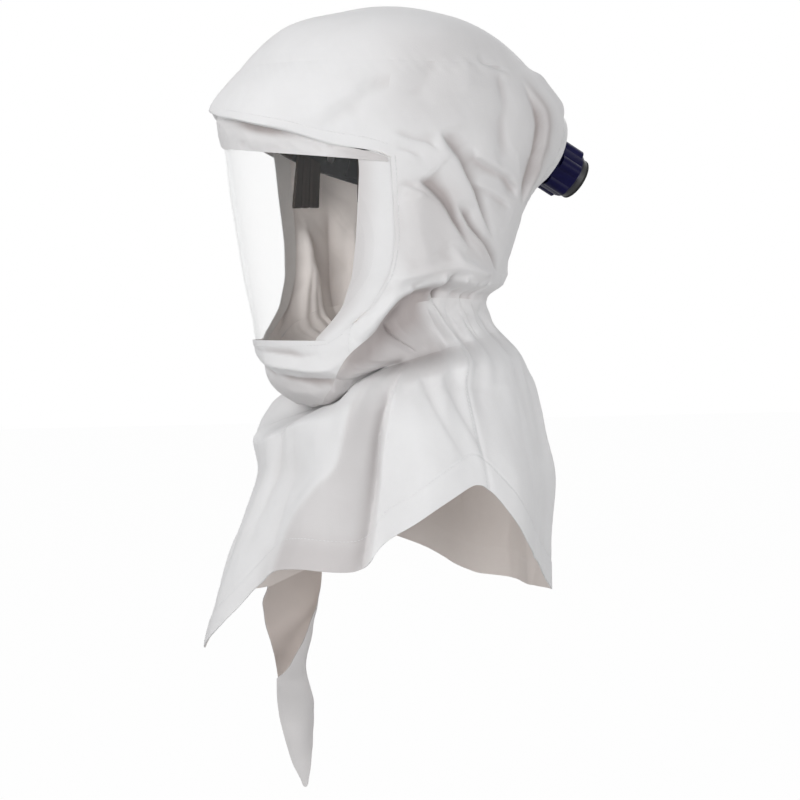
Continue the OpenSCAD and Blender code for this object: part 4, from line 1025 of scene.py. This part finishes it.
def panel(name, grid, keep=None, wrap=False, looks=clothSides, thick=hood["thick"], tone=None, inner=None,
          node=None):
    faces = gridFaces(*grid.shape[:2], wrap)
    if keep is not None:
        faces = faces[keep(faces, grid.reshape(-1, 3))]
    sew(name, grid, gridNormals(grid, wrap), faces, flatUv(grid), thick, looks, tone, inner, node=node)


def offInlet(faces, points):               # leaves the hole for the inlet open
    w, r = inletRadius(points[faces].mean(axis=1))
    return (r > hood["inletHole"]) | (w < -30)


panel("crownPanel", crownGrid, wrap=True, tone=crownPaintedShade)
panel("browPanel", browGrid, tone=browPaintedShade)
sideEnd, backEnd = meshCount["side"], meshCount["side"] + meshCount["back"]
rearCols = {"leftSidePanel": slice(0, sideEnd + 1), "rightSidePanel": slice(backEnd, None),
            "backPanel": slice(sideEnd, backEnd + 1)}
for name, cols in rearCols.items():
    panel(name, rearGrid[:, cols], keep=offInlet if name == "backPanel" else None, tone=rearPaintedShade[:, cols],
          inner=0.5 * rearInnerShade[:, cols])
panel("chinPanel", chinGrid, tone=chinPaintedShade)
panel("neckYoke", yokeGrid, wrap=True, tone=yokePaintedShade)

order = np.argsort(signed(ringAngles))
bibSorted, shadeSorted, anglesSorted = bibGrid[:, order], bibPaintedShade[:, order], signed(ringAngles)[order]
frontCols = np.where((anglesSorted >= bib["rightSeam"]) & (anglesSorted <= bib["leftSeam"] + 0.6))[0]
backLeft = np.where(anglesSorted >= anglesSorted[frontCols[-1]])[0]
backRight = np.where(anglesSorted <= anglesSorted[frontCols[0]])[0]
backCols = np.concatenate([backLeft, backRight])
frontGrid, rearBib = bibSorted[:, frontCols], bibSorted[:, backCols]


def frontBib():                            # the front's grid with the long corner sewn to its hem
    first = np.where(np.isclose(anglesSorted[frontCols], signed(ringAngles)[tailCols[0]]))[0][0]
    rows, cols = frontGrid.shape[:2]
    extra = tailGrid[1:].reshape(-1, 3)
    n, c = rows * cols, tailGrid.shape[1]
    hemRow = (rows - 1) * cols + first + np.arange(c)
    index = np.concatenate([[hemRow], n + np.arange(len(extra)).reshape(-1, c)])
    tailFaces = np.stack([index[:-1, :-1], index[:-1, 1:], index[1:, 1:], index[1:, :-1]], -1).reshape(-1, 4)
    faces = np.concatenate([gridFaces(rows, cols), tailFaces])
    points = np.concatenate([frontGrid.reshape(-1, 3), extra])
    normals = np.concatenate([gridNormals(frontGrid).reshape(-1, 3),
                              gridNormals(tailGrid)[1:].reshape(-1, 3)])
    tailUv = flatUv(tailGrid)[1:].reshape(-1, 2) + [0, tail["mapDrop"]]
    uv = np.concatenate([flatUv(frontGrid).reshape(-1, 2), tailUv])
    # painted shade of the front, and of the long corner's two faces
    frontShade = shadeSorted[:, frontCols].ravel()
    tone = np.concatenate([frontShade, np.full(len(extra), tail["outerShade"])])
    inner = np.concatenate([0.2 * frontShade, np.full(len(extra), tail["innerShade"])])
    sew("frontBib", points, normals, faces, uv, hood["thick"], clothSides, tone, inner)


frontBib()
panel("backBib", rearBib, tone=shadeSorted[:, backCols])
print("panels sewn:", len(sheets))

# Visor film, the band above it and the tapes that bind its sides
visor = {
    "inset": 2.5, "thick": 0.8, "lap": 6.0, "topZ": 4.0, "sideDrop": 13, "rows": 90, "cols": 150, "puff": 6.0,
    "halfAngle": 70.0, "bandEnd": 69, "bandRows": 14, "bandCols": 130,
    "bandSlack": (22, 4.0), "bandSlackBy": 1.4, "bandCrease": (13, 2.0), "bandCreaseBy": 1.6,
    "tapeInset": 1.2, "tapeThick": 0.8, "tapeLap": 7.0, "tapeRows": 90, "tapeCols": 14,
    # width of each tape, and its shares along the tape from its top
    "leftTape": 20.0, "rightTape": 8.0,
    "leftSwell": softTable([[0, 1.1], [0.1, 1.1], [0.46, 1.5], [0.62, 1.5], [0.75, 1.3], [0.85, 1.1],
                            [1, 0.6]], 0.03),
    "rightSwell": softTable([[0, 1], [0.5, 0.73], [1, 0.45]], 0.04),
}
tapeSides = ("hoodCloth", "tapeBack")


def windowTop(phi):
    share = np.clip(np.abs(phi) / visor["halfAngle"], 0, 1)
    return mix(visor["topZ"], visor["topZ"] - visor["sideDrop"], share)


def bandLow(phi):                          # lower edge of the band, narrow on the wearer's right
    return mix(windowTop(phi), lipZ(phi) - 10, ease((4 - phi) / 62))


filmS, filmT = steps(-1, 1, visor["cols"])[None, :], steps(0, 1, visor["rows"])[:, None]
filmTop = bandLow(filmS * visor["halfAngle"]) + visor["lap"]
filmZ = mix(filmTop, v0 - visor["lap"], filmT)
filmEdge = softTable([[v0 - 30, 42], [v0, 42], [seamTop, 50], [v0 + 26, 61], [v0 + 52, 68], [v0 + 80, 70],
                      [99, 70]], 4)
filmGrid = hoodPoint(filmS * (filmEdge(filmZ) + 3), filmZ)
filmPuff = visor["puff"] * np.sin(np.pi * filmT) ** 1.2 * ease((1 - np.abs(filmS)) / 0.5)
filmGrid = filmGrid + gridNormals(filmGrid) * (filmPuff - visor["inset"])[..., None]
panel("visorFilm", filmGrid, looks=("clearFilm", "clearFilm"), thick=visor["thick"], node="visor")

bandAngles = steps(-visor["bandEnd"], visor["bandEnd"], visor["bandCols"])
bandT = steps(0, 1, visor["bandRows"])[:, None]
bandZ = mix((lipZ(bandAngles) - 2.6)[None, :], bandLow(bandAngles)[None, :], bandT)
bandGrid = hoodPoint(np.broadcast_to(bandAngles, bandZ.shape), bandZ)
bandCrush = cloudAt(bandGrid, *visor["bandSlack"]) * visor["bandSlackBy"] \
    + creased(bandGrid * [1, 1, 1.6], *visor["bandCrease"]) * visor["bandCreaseBy"]
bandEdges = ease(bandT / 0.25) * ease((1 - bandT) / 0.25)
bandGrid += gridNormals(bandGrid) * (bandCrush * bandEdges)[..., None]
# painted shade on the band: an even light shade, a shadow under the peak's lip, more at the band's end and in
# its hollows
bandPaintedShade = 0.18 + 1.3 * np.exp(-((bandAngles - 22) / 11) ** 2)[None, :] * ease((0.45 - bandT) / 0.4)
bandPaintedShade = bandPaintedShade + 0.35 * ease((bandAngles - 46) / 14)[None, :] + 0.5 * hollows(bandGrid, False, 3, 1.2)[0]
panel("visorTopBand", bandGrid, looks=tapeSides, thick=visor["tapeThick"], tone=bandPaintedShade)


def visorTape(name, side, shown, swell):   # runs a little way under the side panel's edge
    share, across = steps(0, 1, visor["tapeRows"])[:, None], steps(0, 1, visor["tapeCols"])[None, :]
    z = mix(lipZ(side * hood["peakEnd"]) + 4, v0 - 3, share)
    wide = (visor[shown] * visor[swell](share) + visor["tapeLap"]) / hood["sideDegree"]
    phi = filmEdge(z) + visor["tapeLap"] / hood["sideDegree"] - (1 - across) * wide
    grid = hoodPoint(phi, np.broadcast_to(z, phi.shape))
    grid = grid - gridNormals(grid) * visor["tapeInset"]
    # painted shade on the half of the tape by the visor opening, where it rounds away
    tone = np.broadcast_to(0.45 * ease((0.55 - across) / 0.55), grid.shape[:2])
    if side < 0:
        grid, tone = (grid * [-1, 1, 1])[:, ::-1], tone[:, ::-1]
    panel(name, grid, looks=tapeSides, thick=visor["tapeThick"], tone=tone)


visorTape("leftVisorTape", 1, "leftTape", "leftSwell")
visorTape("rightVisorTape", -1, "rightTape", "rightSwell")
print("visor and tapes made")

# Neck elastic
elastic = {"r": 60.8, "high": 8.0, "thick": 1.5, "ripples": 46, "cols": 240, "rows": 7}
turns = steps(0, 360, elastic["cols"])[:-1]
ripple = 0.5 * np.cos(np.radians(turns * elastic["ripples"]))
tilt = math.radians(neck["tilt"])
axisUp = np.array([0, -math.sin(tilt), math.cos(tilt)])
elasticRows = [neckPoint(turns, elastic["r"] + ripple * (1 - 0.5 * abs(h)))
               + axisUp * (h * elastic["high"] / 2)
               for h in np.linspace(1, -1, elastic["rows"])]
panel("neckElastic", np.stack(elasticRows), wrap=True, looks=webSides, thick=elastic["thick"])

# Webbing hangers between the headband's straps and the side panels
web = {"half": 10, "thick": 1.1, "foot": 7.5, "tilt": 14, "reach": 13, "clear": 1.6, "rows": 60, "cols": 13}


def hanger(name, side):
    low, high = (np.array(corner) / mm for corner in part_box(nodeOf(name)))
    inner, outer = (low[0], high[0]) if side > 0 else (-high[0], -low[0])
    middle = (low + high) / 2
    cloth = rearGrid.reshape(-1, 3)
    near = np.hypot(cloth[:, 1] - middle[1], cloth[:, 2] - middle[2]) < web["reach"]
    near &= cloth[:, 0] * side > 0
    outer = min(outer, np.abs(cloth[near, 0]).min() - web["clear"])   # it is sewn to the deepest fold there
    line = [(inner + 0.6, web["foot"]), (inner + 0.6, 2.2), (inner + 2.0, 0.4), ((inner + outer) / 2, -0.9),
            (outer - 2.0, 0.4), (outer - 0.6, 2.2), (outer - 0.6, web["foot"])]
    last = len(line) - 1
    path = cubicThrough(np.arange(last + 1.0), np.array(line), np.linspace(0, last, web["rows"]))
    lean, across = math.radians(web["tilt"]), np.linspace(-web["half"], web["half"], web["cols"])[None, :]
    x, h = path[:, :1] + 0 * across, path[:, 1:]
    y = middle[1] + across * math.cos(lean) + h * math.sin(lean)
    z = middle[2] - across * math.sin(lean) + h * math.cos(lean)
    grid = np.stack([x * side, y, z], -1)
    panel(name, grid[:, ::-1] if side > 0 else grid, looks=webSides, thick=web["thick"])


hanger("leftHanger", 1)
hanger("rightHanger", -1)
print("elastic and hangers made")

# Sewn seams: rows of thread on the cloth
thread = {
    "pitch": 3.2, "long": 2.6, "thick": 0.26, "rise": 0.08, "sides": 6,
    # share of a stitch, thickness there, over or under
    "rings": [(0.0, 0.6, -1), (0.5, 1.0, 1), (1.0, 0.6, -1)],
}


def stitches(name, runs):
    points, faces, uvs = [], [], []
    sides = thread["sides"]
    ring = [(a, (a + 1) % sides) for a in range(sides)]
    for line, up in runs:
        length = np.concatenate([[0], np.cumsum(np.linalg.norm(np.diff(line, axis=0), axis=1))])
        for start in np.arange(1.0, length[-1] - thread["long"], thread["pitch"]):
            base = len(points)
            for share, fat, over in thread["rings"]:
                at = start + share * thread["long"]
                p, q, n = (np.array([np.interp(place, length, track[:, i]) for i in range(3)])
                           for track, place in ((line, at), (line, at + 0.5), (up, at)))
                d = (q - p) / max(np.linalg.norm(q - p), 1e-6)
                n = n / np.linalg.norm(n)
                c = np.cross(d, n)
                r = thread["thick"] * fat
                for a in range(sides):
                    angle = 2 * math.pi * a / sides
                    lift = over * thread["rise"] + r * math.sin(angle)
                    points.append(p + n * lift + c * r * math.cos(angle))
                    uvs.append((a * 0.3, at))
            for row in (base, base + sides):
                faces += [[row + a, row + b, row + sides + b, row + sides + a] for a, b in ring]
            faces.append([base + a for a in reversed(range(sides))])
            faces.append([base + 2 * sides + a for a in range(sides)])
    piece = newPiece(name, np.array(points), faces, np.array(uvs), ["sewingThread"])
    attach(piece, "hood")
    mend(piece.data, turnOut)
    smoothAll(piece)
    return piece


def rowLine(grid, row):
    return grid[row], gridNormals(grid)[row]


def colLine(grid, col, first=0):
    return grid[first:, col], gridNormals(grid)[first:, col]


def hemLineAbove(grid, gap):               # the line on a hanging grid that lies gap above its lower edge
    normal = gridNormals(grid)
    line, up = [], []
    for j in range(grid.shape[1]):
        rise = np.concatenate([[0], np.cumsum(np.linalg.norm(np.diff(grid[::-1, j], axis=0), axis=1))])
        i = len(rise) - 1 - np.interp(gap, rise, np.arange(len(rise)))
        a = int(math.floor(i))
        b = min(a + 1, len(rise) - 1)
        line.append(mix(grid[a, j], grid[b, j], i - a))
        up.append(mix(normal[a, j], normal[b, j], i - a))
    return np.array(line), np.array(up)


seams = {
    "sideStitch": [colLine(rearGrid, seam + step) for seam in (sideEnd, backEnd) for step in (-2, 2)],
    "visorEdgeStitch": [colLine(rearGrid, col, meshCount["lip"]) for col in (3, -4)] + [rowLine(chinGrid, 3)],
    "peakStitch": [rowLine(browGrid, meshCount["lip"] - 5)],
    "hemStitch": [hemLineAbove(grid, bib["hemBand"]) for grid in (frontGrid, rearBib)],
    "shoulderStitch": [colLine(frontGrid, col) for col in (2, -3)],
}
for name, runs in seams.items():
    stitches(name, runs)
print("seams stitched:", len(seams))

# Pads: the CAD pad is filled and puffed by a short cloth run
pads = {
    # voxel (mm), pressure, fill, places of sewn channels
    "browPad": (1.1, 3.0, 0.7, ()), "napePad": (1.1, 3.0, 0.7, ()),
    "leftTemplePad": (0.8, 2.2, 0.6, (0.36, 0.64)), "rightTemplePad": (0.8, 2.2, 0.6, (0.36, 0.64)),
}
padRun = {"smooth": 6, "frames": 12, "quality": 4, "most": 0.5, "channelWide": 1.2, "channelDeep": 0.7}


def spotsOf(piece):
    return np.array([v.co for v in piece.data.vertices])


def moveTo(piece, spots):
    piece.data.vertices.foreach_set("co", spots.astype(np.float32).ravel())
    piece.data.update()


def pad(name, voxel, pressure, fill, channels):
    node = nodeOf(name)
    piece = nodes[node].copy()
    piece.data = nodes[node].data.copy()
    piece.name = name
    for key in [k for k in piece.keys() if k.startswith("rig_")]:
        del piece[key]
    piece.parent = None
    bpy.context.scene.collection.objects.link(piece)
    mend(piece.data, mergeDoubles)
    pick(piece)
    remesh = piece.modifiers.new("fill", "REMESH")
    remesh.mode = "VOXEL"
    remesh.voxel_size = voxel * mm
    bpy.ops.object.modifier_apply(modifier="fill")
    smooth = piece.modifiers.new("ease", "SMOOTH")
    smooth.factor, smooth.iterations = 0.5, padRun["smooth"]
    bpy.ops.object.modifier_apply(modifier="ease")
    rest = spotsOf(piece)
    cloth = piece.modifiers.new("puff", "CLOTH")
    cloth.settings.use_pressure = True
    cloth.settings.uniform_pressure_force = pressure
    cloth.settings.effector_weights.gravity = 0
    cloth.settings.quality = padRun["quality"]
    for step in range(1, padRun["frames"] + 1):
        bpy.context.scene.frame_set(step)
    bpy.ops.object.modifier_apply(modifier="puff")
    bpy.context.scene.frame_set(1)
    moved = spotsOf(piece) - rest
    size = np.linalg.norm(moved, axis=1, keepdims=True)
    moveTo(piece, rest + moved * np.minimum(1, padRun["most"] * mm / np.maximum(size, 1e-12)))
    if channels:                           # upright sewn channels, pressed in from both faces
        low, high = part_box(node)
        spots = spotsOf(piece)
        faceOut = np.array([v.normal for v in piece.data.vertices])
        for share in channels:
            gap = (spots[:, 1] - mix(low[1], high[1], share)) / (padRun["channelWide"] * mm)
            spots -= faceOut * (padRun["channelDeep"] * mm * np.exp(-gap ** 2))[:, None]
        moveTo(piece, spots)
    piece.data.materials.clear()
    piece.data.materials.append(finishes["padFoam"])
    smoothAll(piece)
    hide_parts(node)
    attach(piece, "hood")


for name, settings in pads.items():
    pad(name, *settings)
print("pads filled:", len(pads))

# Finishes of the hard parts that the CAD shows
hardParts = {
    "blackMoulding": ["brow_band", "left_strap", "right_strap", "cross_strap", "crown_strap", "duct_saddle",
                      "ratchet_housing", "ratchet_cover", "left_rack", "right_rack", "ratchet_pinion",
                      "ratchet_knob", "inlet_flange"],
    "greyMoulding": ["air_duct", "inlet_plenum"],
    "navyMoulding": ["clamp_ring", "lock_collar"],
    "softRubber": ["inlet_gasket", "hose_seal"],
    "brushedSteel": ["band_rivets", "crown_stud", "friction_washer", "knob_screw"],
    "bluedSteel": ["snap_ring"],
}
for look, names in hardParts.items():
    for name in names:
        nodes[name].data.materials.clear()
        nodes[name].data.materials.append(finishes[look])
print("hard parts finished:", sum(len(names) for names in hardParts.values()))
